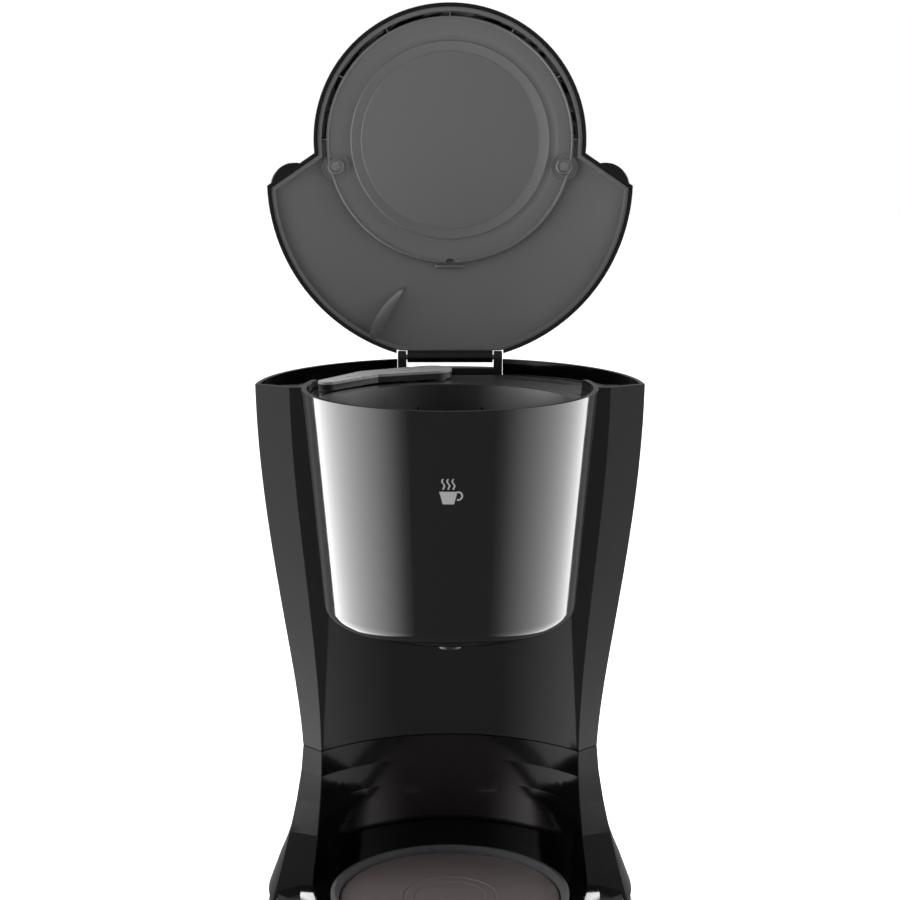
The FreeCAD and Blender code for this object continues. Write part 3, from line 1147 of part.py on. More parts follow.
def make_lid():
    """Lid: outer shell with hinge barrel, inner panel with disc and cam fin, and two screws."""
    wall = size("lid_wall")
    low = size("lid_low")
    shell = lid_solid(0, low).cut(lid_solid(wall, low - 1))
    hinge = Vector(0, size("hinge_y"), size("hinge_level"))
    half = size("barrel_half")
    barrel = Part.makeCylinder(size("barrel_r"), 2 * half, hinge - Vector(half, 0, 0), Vector(1, 0, 0))
    web = Part.makeBox(2 * half, size("hinge_y") - size("lid_trim_y") + wall, size("barrel_r") + 2,
                       Vector(-half, size("lid_trim_y") - wall, low))
    for side in (-1, 1):
        inner = half + size("post_gap") - size("notch_gap") + 0.2
        deep = size("post_eye_r") + 2 * size("notch_gap")
        notch = Part.makeBox(size("post_wide") + 2 * size("notch_gap"), 40, 40,
                             Vector(inner if side > 0 else -inner - size("post_wide") - 2 * size("notch_gap"),
                                    size("hinge_y") - deep, low - 5))
        shell = shell.cut(notch)
    shell = shell.fuse(barrel).fuse(web)
    bores = [Part.makeCylinder(size("pin_r") + size("pin_fit"), size("pin_in") + 1,
                               hinge + Vector(side * half, 0, 0), Vector(-side, 0, 0)) for side in (-1, 1)]
    shell = shell.cut(Part.makeCompound(bores))
    inside_top = size("lid_top") - wall
    panel_back = size("panel_level") + size("panel_sheet")
    pillars = []
    for side in (-1, 1):
        foot = Vector(side * size("lid_screw_x"), size("lid_screw_y"), panel_back)
        pillar = Part.makeCylinder(size("lid_boss_r"), inside_top - foot.z + 0.5, foot)
        pillars.append(pillar.cut(Part.makeCylinder(size("screw_r"), inside_top - foot.z, foot)))
    shell = shell.fuse(pillars)
    keep(opened(shaped("lid_shell", shell)), "lid_shell")

    level = size("panel_level")
    sheet_high = size("panel_sheet")
    panel = Part.Face(lid_outline(level, size("panel_in"))).extrude(Vector(0, 0, sheet_high))
    face = level - size("disc_drop")
    disc = Part.makeCylinder(size("disc_r"), size("disc_drop"), Vector(0, 0, face))
    hollow = Part.makeCone(size("disc_step_r"), size("disc_flat_r"), size("disc_drop") - size("disc_sheet"),
                           Vector(0, 0, face))
    disc = disc.cut(hollow)
    path = [Vector(x, y, 0) for x, y in FIN_PATH]
    fin_r = size("fin_wide") / 2
    fin = [capsule(start, end, fin_r, fin_r, level - size("fin_deep"), size("fin_deep") + 0.4)
           for start, end in zip(path, path[1:])]
    panel = panel.fuse(fin)
    for side in (-1, 1):
        foot = Vector(side * size("lid_screw_x"), size("lid_screw_y"), level - 4)
        hole = Part.makeCylinder(size("screw_r") + 0.2, 20, foot)
        panel = panel.cut(hole)
        disc = disc.cut(hole)
    keep(opened(shaped("lid_panel", panel)), "lid_panel")
    keep(opened(shaped("lid_disc", disc)), "lid_disc")

    screws = []
    for side in (-1, 1):
        foot = Vector(side * size("lid_screw_x"), size("lid_screw_y"), level)
        shank = Part.makeCylinder(size("screw_r"), inside_top - level - 0.6, foot)
        drop = size("disc_drop")
        head = Part.makeCylinder(size("screw_head_r") - 0.4, 1.6, foot - Vector(0, 0, 1.6 + drop))
        neck = Part.makeCylinder(size("screw_r"), drop + 0.2, foot - Vector(0, 0, drop + 0.1))
        screws.append(opened(shaped(f"lid_screw{side + 1}", head.fuse(neck).fuse(shank).removeSplitter())))
    keep(group("lid_screws", screws), "lid_screws")


def make_hinge():
    """Hinge bracket set into the column's back edge, with two pins."""
    half = size("barrel_half") + size("post_gap") + size("post_wide")
    hinge = Vector(0, size("hinge_y"), size("hinge_level"))
    front = hinge.y - size("post_eye_r")
    bar_low, bar_top = size("bracket_low"), size("bracket_top")
    post_low = size("tank_top") + 0.5
    outer = column_solid(0, bar_low - 5, size("top_level") + 10)
    tab = Part.makeBox(2 * half, 20, post_low - bar_low, Vector(-half, front, bar_low))
    tab = tab.cut(column_solid(size("wall"), bar_low - 5, size("top_level")))
    bracket = tab.fuse(Part.makeBox(2 * half, 20, bar_top - post_low, Vector(-half, front, post_low)))
    for side in (-1, 1):
        inner = size("barrel_half") + size("post_gap")
        x = inner if side > 0 else -inner - size("post_wide")
        wide = size("post_wide")
        eye_foot = Vector(x, hinge.y, hinge.z)
        post = Part.makeBox(wide, size("post_deep"), hinge.z - post_low, Vector(x, front, post_low))
        eye = Part.makeCylinder(size("post_eye_r"), wide, eye_foot, Vector(1, 0, 0))
        hole = Part.makeCylinder(size("pin_r"), wide, eye_foot, Vector(1, 0, 0))
        bracket = bracket.fuse(post).fuse(eye).cut(hole)
    bracket = bracket.common(outer)
    keep(shaped("hinge_bracket", bracket.removeSplitter()), "hinge_bracket")
    start = "barrel_half - pin_in"
    long = "pin_in + post_gap + post_wide"
    right = cylinder("hinge_pin_right", "pin_r", long, start, "hinge_y", "hinge_level", "x")
    left = cylinder("hinge_pin_left", "pin_r", long, f"-({start}) - ({long})", "hinge_y", "hinge_level", "x")
    keep(group("hinge_pins", [left, right]), "hinge_pins")


MAKERS = (make_base, make_bottom_cover, make_feet, make_cover_screws, make_hotplate, make_gasket,
          make_heater, make_heater_clamp, make_thermostat, make_fuses, make_switch, make_gland,
          make_terminal_block, make_column, make_tank, make_shelf, make_pipes, make_brew_housing,
          make_basket, make_drip_stop, make_arm, make_lid, make_hinge)

for make in MAKERS:
    make()
doc.recompute()

faults = [f"{item.Name}: {item.State}" for item in doc.Objects
          if "Invalid" in item.State or "Error" in item.State]
for piece in SUBPARTS:
    if piece.Shape.isNull() or not piece.Shape.isValid():
        faults.append(f"{piece.Label}: shape is null or not valid")
if faults:
    raise RuntimeError("; ".join(faults))

os.makedirs("parts", exist_ok=True)
for piece in SUBPARTS:
    piece.Shape.exportStep(f"parts/{piece.Label}.step")
    box_of = piece.Shape.BoundBox
    print(f"{piece.Label:20s} solids {len(piece.Shape.Solids)} volume {piece.Shape.Volume:11.1f} "
          f"x {box_of.XMin:7.1f} {box_of.XMax:7.1f} y {box_of.YMin:7.1f} {box_of.YMax:7.1f} "
          f"z {box_of.ZMin:7.1f} {box_of.ZMax:7.1f}")
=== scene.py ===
# %% [markdown]
# # A drip coffee maker, from CAD frame to finished look
# The machine is already designed: every piece has its true size and place in the
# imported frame, in metres, with +Z up and the front towards -Y. This lesson gives
# those pieces their plastics, metals and rubbers, and models by hand the ones
# that need finer detail than the frame carries.

# %% Load the frame
import bpy
import bmesh
import json
from math import asin, atan2, cos, pi, radians, sin
from mathutils import Matrix, Vector


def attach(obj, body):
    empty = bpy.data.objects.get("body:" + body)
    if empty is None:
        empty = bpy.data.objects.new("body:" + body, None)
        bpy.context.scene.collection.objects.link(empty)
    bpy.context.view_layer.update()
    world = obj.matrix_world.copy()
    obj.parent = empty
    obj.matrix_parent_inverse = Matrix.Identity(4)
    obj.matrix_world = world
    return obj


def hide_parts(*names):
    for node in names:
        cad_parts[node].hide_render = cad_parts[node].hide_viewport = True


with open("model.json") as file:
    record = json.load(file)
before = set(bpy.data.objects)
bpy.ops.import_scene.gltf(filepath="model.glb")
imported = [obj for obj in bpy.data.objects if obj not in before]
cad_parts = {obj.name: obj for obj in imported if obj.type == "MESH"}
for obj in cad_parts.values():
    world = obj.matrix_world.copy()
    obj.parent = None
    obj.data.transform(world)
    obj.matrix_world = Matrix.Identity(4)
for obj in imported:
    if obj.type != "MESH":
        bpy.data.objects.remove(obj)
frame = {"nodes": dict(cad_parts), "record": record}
bpy.context.view_layer.update()
NODES = frame["nodes"]
MM = 0.001
UM = 0.000001
print("pieces in the frame:", len(NODES))


# %% [markdown]
# ## Colour
# Painters' hex colours are in sRGB, the way a screen shows them, while Blender's
# shaders work in linear light. One function does the change for every material.

# %% Colour helper
def linear(hex_colour):
    channels = [int(hex_colour[i:i + 2], 16) / 255 for i in (1, 3, 5)]
    straight = [c / 12.92 if c <= 0.04045 else ((c + 0.055) / 1.055) ** 2.4 for c in channels]
    return (*straight, 1.0)


print("mid grey in linear light:", [round(c, 3) for c in linear("#808080")])


# %% [markdown]
# ## Nodes
# A material is a small graph. This helper adds one node to it, sets its
# properties and sockets, and links what feeds it, so that each material below
# reads as a list of steps.

# %% Node helper
def add_node(tree, kind, settings=None, links=None):
    node = tree.nodes.new(kind)
    for name, value in (settings or {}).items():
        if name in node.inputs.keys():
            node.inputs[name].default_value = value
        else:
            setattr(node, name, value)
    for name, source in (links or {}).items():
        tree.links.new(source, node.inputs[name])
    return node


def new_surface(name, **shader):
    material = bpy.data.materials.new(name)
    material.use_nodes = True
    tree = material.node_tree
    tree.nodes.clear()
    output = add_node(tree, "ShaderNodeOutputMaterial")
    surface = add_node(tree, "ShaderNodeBsdfPrincipled", shader)
    tree.links.new(surface.outputs["BSDF"], output.inputs["Surface"])
    place = add_node(tree, "ShaderNodeTexCoord").outputs["Object"]
    return material, tree, surface, place


def per_metre(size_mm):
    return 1 / (size_mm * MM)


# %% [markdown]
# ## Moulded plastics
# Nearly everything here is injection moulded. A moulded face copies its steel
# tool: a polished tool gives a glassy face that still waves slightly, like
# orange peel, and a spark-eroded tool gives a fine grain. So one recipe serves
# them all. A slow wave a few millimetres long bends the reflections, a grain
# breaks them up, and a third, larger noise makes the gloss a little uneven,
# as handling does.

# %% Recipe for a moulded plastic
PLASTIC_IOR = 1.54
HANDLING_MM = 26


def moulded_plastic(name, colour, roughness, uneven, wave_mm, wave_um, grain_mm, grain_um):
    material, tree, surface, place = new_surface(
        name, **{"Base Color": linear(colour), "Roughness": roughness, "IOR": PLASTIC_IOR})
    handling = add_node(tree, "ShaderNodeTexNoise",
                        {"Scale": per_metre(HANDLING_MM), "Detail": 3.0}, {"Vector": place})
    gloss = add_node(tree, "ShaderNodeMapRange",
                     {"From Min": 0.3, "From Max": 0.7,
                      "To Min": roughness - uneven, "To Max": roughness + uneven},
                     {"Value": handling.outputs["Fac"]})
    wave = add_node(tree, "ShaderNodeTexNoise", {"Scale": per_metre(wave_mm), "Detail": 0.0},
                    {"Vector": place})
    waved = add_node(tree, "ShaderNodeBump", {"Distance": wave_um * UM, "Strength": 1.0},
                     {"Height": wave.outputs["Fac"]})
    grain = add_node(tree, "ShaderNodeTexNoise", {"Scale": per_metre(grain_mm), "Detail": 2.0},
                     {"Vector": place})
    grained = add_node(tree, "ShaderNodeBump", {"Distance": grain_um * UM, "Strength": 1.0},
                       {"Height": grain.outputs["Fac"], "Normal": waved.outputs["Normal"]})
    tree.links.new(gloss.outputs["Result"], surface.inputs["Roughness"])
    tree.links.new(grained.outputs["Normal"], surface.inputs["Normal"])
    return material


FINISHES = {
    # ABS from a polished tool: deep black, clear reflections with a slow wave
    "black_gloss": moulded_plastic(
        "abs_polished_black", "#0b0b0c", 0.09, 0.02, 9, 14, 0.8, 0.6),
    # ABS from a fine-blasted tool: black with a soft sheen
    "black_satin": moulded_plastic(
        "abs_blasted_black", "#121213", 0.32, 0.05, 12, 8, 0.5, 8),
    # polypropylene from a coarser tool: flat black with a visible fine grain
    "black_matte": moulded_plastic(
        "polypropylene_eroded_black", "#141415", 0.5, 0.06, 14, 8, 0.6, 25),
    # polypropylene, dark grey: the inside of the lid
    "dark_grey_satin": moulded_plastic(
        "polypropylene_blasted_grey", "#535354", 0.36, 0.05, 12, 8, 0.5, 10),
    # the water arm's cap, lighter and smoother
    "grey_satin": moulded_plastic(
        "polypropylene_smooth_grey", "#858586", 0.3, 0.04, 10, 8, 0.5, 6),
    # the tank, dark grey and slightly waxy
    "grey_plastic": moulded_plastic(
        "polypropylene_tank_grey", "#2c2c2e", 0.4, 0.05, 14, 10, 0.6, 8),
    # nylon keeps its milky natural colour
    "white_nylon": moulded_plastic(
        "nylon_natural_white", "#e4e1d6", 0.42, 0.05, 10, 8, 0.6, 8),
}
print("moulded plastics:", len(FINISHES))


# %% [markdown]
# ## Rubbers
# Rubber and silicone scatter light in a wide soft lobe and carry a fine talc
# bloom, seen as pale cloudy patches.

# %% Recipe for a rubber
def bloomed_rubber(name, colour, bloom, roughness, ior):
    material, tree, surface, place = new_surface(name, Roughness=roughness, IOR=ior)
    clouds = add_node(tree, "ShaderNodeTexNoise", {"Scale": per_metre(7), "Detail": 5.0},
                      {"Vector": place})
    tint = add_node(tree, "ShaderNodeMix", {"data_type": "RGBA"},
                    {"Factor": clouds.outputs["Fac"]})
    tint.inputs["A"].default_value = linear(colour)
    tint.inputs["B"].default_value = linear(bloom)
    pores = add_node(tree, "ShaderNodeTexNoise", {"Scale": per_metre(0.4)}, {"Vector": place})
    bumped = add_node(tree, "ShaderNodeBump", {"Distance": 12 * UM},
                      {"Height": pores.outputs["Fac"]})
    tree.links.new(tint.outputs["Result"], surface.inputs["Base Color"])
    tree.links.new(bumped.outputs["Normal"], surface.inputs["Normal"])
    return material


FINISHES["rubber"] = bloomed_rubber(
    "rubber_moulded_black", "#131313", "#1e1e1f", 0.75, 1.52)
FINISHES["silicone_grey"] = bloomed_rubber(
    "silicone_moulded_grey", "#3a3a3b", "#47474a", 0.5, 1.42)
FINISHES["silicone_hose"] = bloomed_rubber(
    "silicone_extruded_milky", "#d3cfc4", "#dedbd2", 0.4, 1.42)
print("finishes with the rubbers:", len(FINISHES))


# %% [markdown]
# ## Metals
# Rolled and drawn metal carries fine lines from the rollers, and plated or cast
# metal is cloudier. The lines are a noise squeezed along one axis. A metal's
# reflection takes its colour from the base colour, and its IOR stays at the
# shader's default.

# %% Recipe for a metal
def worked_metal(name, colour, roughness, uneven, line_mm, stretch, depth_um):
    material, tree, surface, place = new_surface(
        name, **{"Base Color": linear(colour), "Metallic": 1.0, "Roughness": roughness})
    squeezed = add_node(tree, "ShaderNodeMapping", {"Scale": stretch}, {"Vector": place})
    lines = add_node(tree, "ShaderNodeTexNoise", {"Scale": per_metre(line_mm), "Detail": 4.0},
                     {"Vector": squeezed.outputs["Vector"]})
    gloss = add_node(tree, "ShaderNodeMapRange",
                     {"From Min": 0.3, "From Max": 0.7,
                      "To Min": roughness - uneven, "To Max": roughness + uneven},
                     {"Value": lines.outputs["Fac"]})
    bumped = add_node(tree, "ShaderNodeBump", {"Distance": depth_um * UM},
                      {"Height": lines.outputs["Fac"]})
    tree.links.new(gloss.outputs["Result"], surface.inputs["Roughness"])
    tree.links.new(bumped.outputs["Normal"], surface.inputs["Normal"])
    return material


EVEN = (1, 1, 1)
ALONG_X = (0.05, 1, 1)
ALONG_Z = (1, 1, 0.05)
FINISHES["cast_aluminium"] = worked_metal(
    "aluminium_die_cast", "#b9b9bb", 0.45, 0.08, 1.2, EVEN, 20)
FINISHES["sheet_steel"] = worked_metal(
    "stainless_rolled", "#b4b4b6", 0.3, 0.08, 0.3, ALONG_X, 3)
FINISHES["zinc"] = worked_metal(
    "steel_zinc_plated", "#b8babd", 0.3, 0.1, 1.5, EVEN, 4)
FINISHES["spring_steel"] = worked_metal(
    "stainless_drawn", "#b2b2b4", 0.25, 0.06, 0.3, ALONG_Z, 3)
FINISHES["pin_steel"] = worked_metal(
    "steel_ground", "#acacae", 0.22, 0.06, 0.2, ALONG_X, 2)
FINISHES["steel_ball"] = worked_metal(
    "steel_polished", "#c8c8ca", 0.06, 0.02, 0.8, EVEN, 0.5)
FINISHES["brass"] = worked_metal(
    "brass_tinned", "#c9b483", 0.3, 0.08, 0.5, ALONG_X, 3)
print("finishes with the metals:", len(FINISHES))


# %% [markdown]
# ## The hotplate's coating
# The plate is pressed steel under a thin baked non-stick coat: a warm, faintly
# metallic mauve grey. Sprayed coats dry in tiny flecks, so the colour
# has a fleck of its own, and the gloss is soft.

# %% Hotplate coating
def baked_coating():
    material, tree, surface, place = new_surface(
        "steel_baked_coating", Metallic=0.65, Roughness=0.3)
    flecks = add_node(tree, "ShaderNodeTexNoise", {"Scale": per_metre(0.5), "Detail": 4.0},
                      {"Vector": place})
    tint = add_node(tree, "ShaderNodeMix", {"data_type": "RGBA"},
                    {"Factor": flecks.outputs["Fac"]})
    tint.inputs["A"].default_value = linear("#7a6f70")
    tint.inputs["B"].default_value = linear("#8f8384")
    rough = add_node(tree, "ShaderNodeMapRange", {"To Min": 0.24, "To Max": 0.36},
                     {"Value": flecks.outputs["Fac"]})
    bumped = add_node(tree, "ShaderNodeBump", {"Distance": 4 * UM},
                      {"Height": flecks.outputs["Fac"]})
    tree.links.new(tint.outputs["Result"], surface.inputs["Base Color"])
    tree.links.new(rough.outputs["Result"], surface.inputs["Roughness"])
    tree.links.new(bumped.outputs["Normal"], surface.inputs["Normal"])
    return material


FINISHES["plate_coat"] = baked_coating()
print("coating:", FINISHES["plate_coat"].name)


# %% [markdown]
# ## Clear and coloured lenses
# The level window, the rocker and its lamp pass light. Transmission lets it
# through, and faint flow marks from moulding keep them from looking like
# optical glass.

# %% Recipe for a lens
def moulded_lens(name, colour, transmission, roughness, ior):
    material, tree, surface, place = new_surface(
        name, **{"Base Color": linear(colour), "Transmission Weight": transmission,
                 "Roughness": roughness, "IOR": ior})
    flow = add_node(tree, "ShaderNodeTexNoise", {"Scale": per_metre(6), "Detail": 1.0},
                    {"Vector": place})
    bumped = add_node(tree, "ShaderNodeBump", {"Distance": 10 * UM},
                      {"Height": flow.outputs["Fac"]})
    tree.links.new(bumped.outputs["Normal"], surface.inputs["Normal"])
    return material


FINISHES["clear_plastic"] = moulded_lens("polycarbonate_clear", "#e8eef0", 0.85, 0.08, 1.58)
FINISHES["red_lens"] = moulded_lens("polycarbonate_red", "#b3120c", 0.35, 0.15, 1.58)
FINISHES["lamp_glass"] = moulded_lens("neon_lamp_glass", "#ffb37a", 0.6, 0.05, 1.5)
print("finishes with the lenses:", len(FINISHES))


# %% [markdown]
# ## Braided sleeve
# The thermal fuses lie in glass fibre sleeves. Two sets of diagonal yarns cross
# over and under each other, which two wave patterns multiplied together give.
# Blender's wave turns 20 radians per unit of scale, so a wave is 2 pi times the
# size below, much coarser than real yarn, for the braid to show at all.

# %% Braided sleeve
WAVE_RADIANS = 20
YARN_MM = 1.2
YARN_TURN = radians(40)


def braided_sleeve():
    material, tree, surface, place = new_surface("glass_fibre_braided", Roughness=0.7, IOR=1.52)
    yarns = []
    for turn in (YARN_TURN, -YARN_TURN):
        turned = add_node(tree, "ShaderNodeMapping", {"Rotation": (0, 0, turn)},
                          {"Vector": place})
        wave = add_node(tree, "ShaderNodeTexWave",
                        {"Scale": per_metre(YARN_MM) / WAVE_RADIANS},
                        {"Vector": turned.outputs["Vector"]})
        yarns.append(wave.outputs["Fac"])
    weave = add_node(tree, "ShaderNodeMath", {"operation": "MULTIPLY"})
    tree.links.new(yarns[0], weave.inputs[0])
    tree.links.new(yarns[1], weave.inputs[1])
    tint = add_node(tree, "ShaderNodeMix", {"data_type": "RGBA"},
                    {"Factor": weave.outputs["Value"]})
    tint.inputs["A"].default_value = linear("#b9b39f")
    tint.inputs["B"].default_value = linear("#e6e1d1")
    bumped = add_node(tree, "ShaderNodeBump", {"Distance": 120 * UM},
                      {"Height": weave.outputs["Value"]})
    tree.links.new(tint.outputs["Result"], surface.inputs["Base Color"])
    tree.links.new(bumped.outputs["Normal"], surface.inputs["Normal"])
    return material


FINISHES["sleeve"] = braided_sleeve()
print("sleeve:", FINISHES["sleeve"].name)


# %% [markdown]
# ## Dress the frame
# The record says which finish each piece takes, so one loop dresses them all.

# %% Assign the finishes
for part in frame["record"]["subparts"]:
    mesh = NODES[part["node"]].data
    mesh.materials.clear()
    mesh.materials.append(FINISHES[part["material_slot"]])


# %% [markdown]
# ## The underside of the lid
# The open lid shows its liner, a moulding with a flat border, a step down to
# a satin panel, and a channel round the disc that guides the steam. It
# could be drawn as many pieces, but a mould makes it in one, so it is modelled
# the same way: one flat outline, inset and pushed in step by step. It is made lying
# flat, as when the lid is closed, and turned up at the end.

# %% Lid measures
HINGE = Vector((0, 0.1279, 0.321))
OPEN_ANGLE = radians(100.8)
LID_FRONT_R = 80 * MM
NOTCH_ANGLE = radians(6)
WING_CORNER = Vector((107.2, 27.5)) * MM
REAR_Y = 130.4 * MM
TRIM_Y = 126.2 * MM
PANEL_LEVEL = 325.2 * MM
BORDER_LEVEL = 321.5 * MM
SHELL_WALL = 2.2 * MM
BORDER_WIDE = 2.4 * MM
LINER_WALL = 0.9 * MM
print("panel stands above the border by, mm:", round((PANEL_LEVEL - BORDER_LEVEL) / MM, 2))


# %% [markdown]
# Modelling steps that every piece needs are named once: start with nothing
# selected, choose faces, make a block, cut one piece with another, round the
# edges, and settle the finished piece on its body.

# %% Modelling helpers
def bare_scene():
    if bpy.context.object and bpy.context.object.mode != "OBJECT":
        bpy.ops.object.mode_set(mode="OBJECT")
    bpy.ops.object.select_all(action="DESELECT")


def select_faces(piece, wanted):
    bpy.ops.mesh.select_mode(type="FACE")
    bpy.ops.mesh.select_all(action="DESELECT")
    mesh = bmesh.from_edit_mesh(piece.data)
    chosen = [face for face in mesh.faces if wanted(face)]
    for face in chosen:
        face.select_set(True)
    bmesh.update_edit_mesh(piece.data)
    return len(chosen)


def settle(piece, body, finish, *stands_for):
    bpy.ops.object.mode_set(mode="OBJECT")
    bpy.ops.object.transform_apply(location=True, rotation=True, scale=True)
    piece.data.materials.clear()
    piece.data.materials.append(FINISHES[finish])
    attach(piece, body)
    if stands_for:
        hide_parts(*stands_for)
    size_mm = [round(d / MM, 1) for d in piece.dimensions]
    print(piece.name, "faces:", len(piece.data.polygons), "size in mm:", size_mm)
    return piece


def soften(piece, width_mm, segments=2, angle=35):
    bevel = piece.modifiers.new("soft_edges", "BEVEL")
    bevel.width = width_mm * MM
    bevel.segments = segments
    bevel.limit_method = "ANGLE"
    bevel.angle_limit = radians(angle)
    bpy.ops.object.modifier_apply(modifier="soft_edges")
    bpy.ops.object.shade_smooth_by_angle(angle=radians(40))


def edit_all():
    bpy.ops.object.mode_set(mode="EDIT")
    bpy.ops.mesh.select_all(action="SELECT")


def block(name, *size_mm):
    bare_scene()
    bpy.ops.mesh.primitive_cube_add(size=1, location=(0, 0, 0))
    piece = bpy.context.object
    piece.name = name
    piece.scale = [size * MM for size in size_mm]
    bpy.ops.object.transform_apply(location=True, rotation=True, scale=True)
    return piece


def carve(piece, cutter, name):
    bare_scene()
    piece.select_set(True)
    bpy.context.view_layer.objects.active = piece
    cut = piece.modifiers.new(name, "BOOLEAN")
    cut.object = cutter
    cut.operation = "DIFFERENCE"
    bpy.ops.object.modifier_apply(modifier=name)
    bpy.data.objects.remove(cutter)


def open_the_lid(piece):
    to_hinge = Matrix.Translation(HINGE)
    piece.data.transform(to_hinge @ Matrix.Rotation(-OPEN_ANGLE, 4, "X") @ to_hinge.inverted())


# %% [markdown]
# The outline has a round front, two slanted edges out to the wing corners and
# a wide arc at the back. Half of it is worked out as points on those curves, and
# the other half is its mirror image.

# %% Outline of the lid
FRONT_STEPS, REAR_STEPS = 40, 30


def lid_outline():
    rise = REAR_Y - WING_CORNER.y
    rear_r = (WING_CORNER.x ** 2 + rise ** 2) / (2 * rise)
    centre_y = REAR_Y - rear_r
    sweep = NOTCH_ANGLE + radians(90)
    front = [Vector((LID_FRONT_R * cos(a), LID_FRONT_R * sin(a)))
             for a in (radians(-90) + sweep * i / FRONT_STEPS for i in range(1, FRONT_STEPS + 1))]
    start = atan2(WING_CORNER.y - centre_y, WING_CORNER.x)
    end = asin((TRIM_Y - centre_y) / rear_r)
    rear = [Vector((rear_r * cos(a), centre_y + rear_r * sin(a)))
            for a in (start + (end - start) * i / REAR_STEPS for i in range(REAR_STEPS + 1))]
    right = front + rear
    left = [Vector((-p.x, p.y)) for p in reversed(right)]
    return [Vector((0, -LID_FRONT_R))] + right + left


outline = lid_outline()
print("outline points:", len(outline))


# %% Liner
def model_liner():
    bare_scene()
    bpy.ops.mesh.primitive_circle_add(vertices=len(outline), radius=LID_FRONT_R,
                                      fill_type="NGON", location=(0, 0, BORDER_LEVEL))
    liner = bpy.context.object
    liner.name = "lid_liner"
    bpy.ops.object.transform_apply(location=True, rotation=True, scale=True)
    for vertex, point in zip(liner.data.vertices, outline):
        vertex.co = (point.x, point.y, BORDER_LEVEL)
    edit_all()
    mesh = bmesh.from_edit_mesh(liner.data)
    mesh.faces.ensure_lookup_table()
    if mesh.faces[0].normal.z > 0:
        bpy.ops.mesh.flip_normals()
    bpy.ops.mesh.inset(thickness=SHELL_WALL, use_even_offset=True)
    select_faces(liner, lambda f: len(f.verts) == 4)
    bpy.ops.mesh.delete(type="FACE")
    bpy.ops.mesh.select_all(action="SELECT")
    bpy.ops.mesh.inset(thickness=BORDER_WIDE, use_even_offset=True)
    step_up = (0, 0, PANEL_LEVEL - BORDER_LEVEL)
    bpy.ops.mesh.extrude_region_move(TRANSFORM_OT_translate={"value": step_up})
    return liner


liner = model_liner()
print("liner faces so far:", len(bmesh.from_edit_mesh(liner.data).faces))


# %% [markdown]
# Round the front half of the disc runs the steam channel. It goes right through the
# liner to the dark dome above, so a half ring is spun from a small face, to be taken
# away from the liner with a boolean. The spin runs round the back, so the half
# ring is then turned to the front.

# %% Channel cutter
CHANNEL_INNER, CHANNEL_OUTER = 72.9, 75.3    # radii in mm
CHANNEL_LOW, CHANNEL_HIGH = 322.0, 328.0     # levels in mm
CHANNEL_SECTION = ((CHANNEL_INNER, CHANNEL_LOW), (CHANNEL_OUTER, CHANNEL_LOW),
                   (CHANNEL_OUTER, CHANNEL_HIGH), (CHANNEL_INNER, CHANNEL_HIGH))


def channel_cutter():
    bare_scene()
    bpy.ops.mesh.primitive_circle_add(vertices=4, radius=MM, fill_type="NGON", location=(0, 0, 0))
    cutter = bpy.context.object
    for vertex, (radius, level) in zip(cutter.data.vertices, CHANNEL_SECTION):
        vertex.co = (radius * MM, 0, level * MM)
    edit_all()
    bpy.ops.mesh.spin(steps=72, angle=-pi, center=(0, 0, 0), axis=(0, 0, 1))
    bpy.ops.mesh.select_all(action="SELECT")
    bpy.ops.mesh.normals_make_consistent(inside=False)
    bpy.ops.object.mode_set(mode="OBJECT")
    cutter.data.transform(Matrix.Rotation(pi, 4, "Z"))
    return cutter


# %% [markdown]
# The liner is still a sheet with no thickness. Solidify gives it one, towards
# the dome. Then the channel is cut, and a small bevel rounds the corners the way a
# mould's corners are rounded, which is what draws the thin bright lines along them.

# %% Finish the liner
def finish_liner(liner):
    bpy.ops.object.mode_set(mode="OBJECT")
    wall = liner.modifiers.new("wall", "SOLIDIFY")
    wall.thickness = LINER_WALL
    wall.offset = -1
    bpy.ops.object.modifier_apply(modifier="wall")
    carve(liner, channel_cutter(), "steam_channel")
    soften(liner, 0.25)
    open_the_lid(liner)
    return settle(liner, "lid", "dark_grey_satin", "lid_panel")


finish_liner(liner)


# %% [markdown]
# ## Turned shapes
# The disc, the screw bosses and several other pieces are round. A round piece
# starts as its section: a ring of points, moved to where the section's corners
# are, then spun about its axis. The seam is merged before the normals are
# recalculated, so that the skin is closed and faces outwards.

# %% Spinning helper
def spun(name, section_mm, centre=(0.0, 0.0), steps=96):
    bare_scene()
    bpy.ops.mesh.primitive_circle_add(vertices=len(section_mm), radius=MM, location=(0, 0, 0))
    piece = bpy.context.object
    piece.name = name
    for vertex, (radius, level) in zip(piece.data.vertices, section_mm):
        vertex.co = (centre[0] + radius * MM, centre[1], level * MM)
    edit_all()
    bpy.ops.mesh.spin(steps=steps, angle=2 * pi, center=(*centre, 0), axis=(0, 0, 1))
    bpy.ops.mesh.select_all(action="SELECT")
    bpy.ops.mesh.remove_doubles(threshold=0.01 * MM)
    bpy.ops.mesh.dissolve_degenerate(threshold=0.005 * MM)
    bpy.ops.mesh.normals_make_consistent(inside=False)
    bpy.ops.object.mode_set(mode="OBJECT")
    return piece


# %% [markdown]
# ## The steam disc
# The disc is held by two screws and closes the brewing chamber. From the edge
# inwards it has a raised bead, a flat ring, a soft step, a thin ridge, a
# cone and a flat middle. The cone is what catches the side lights.

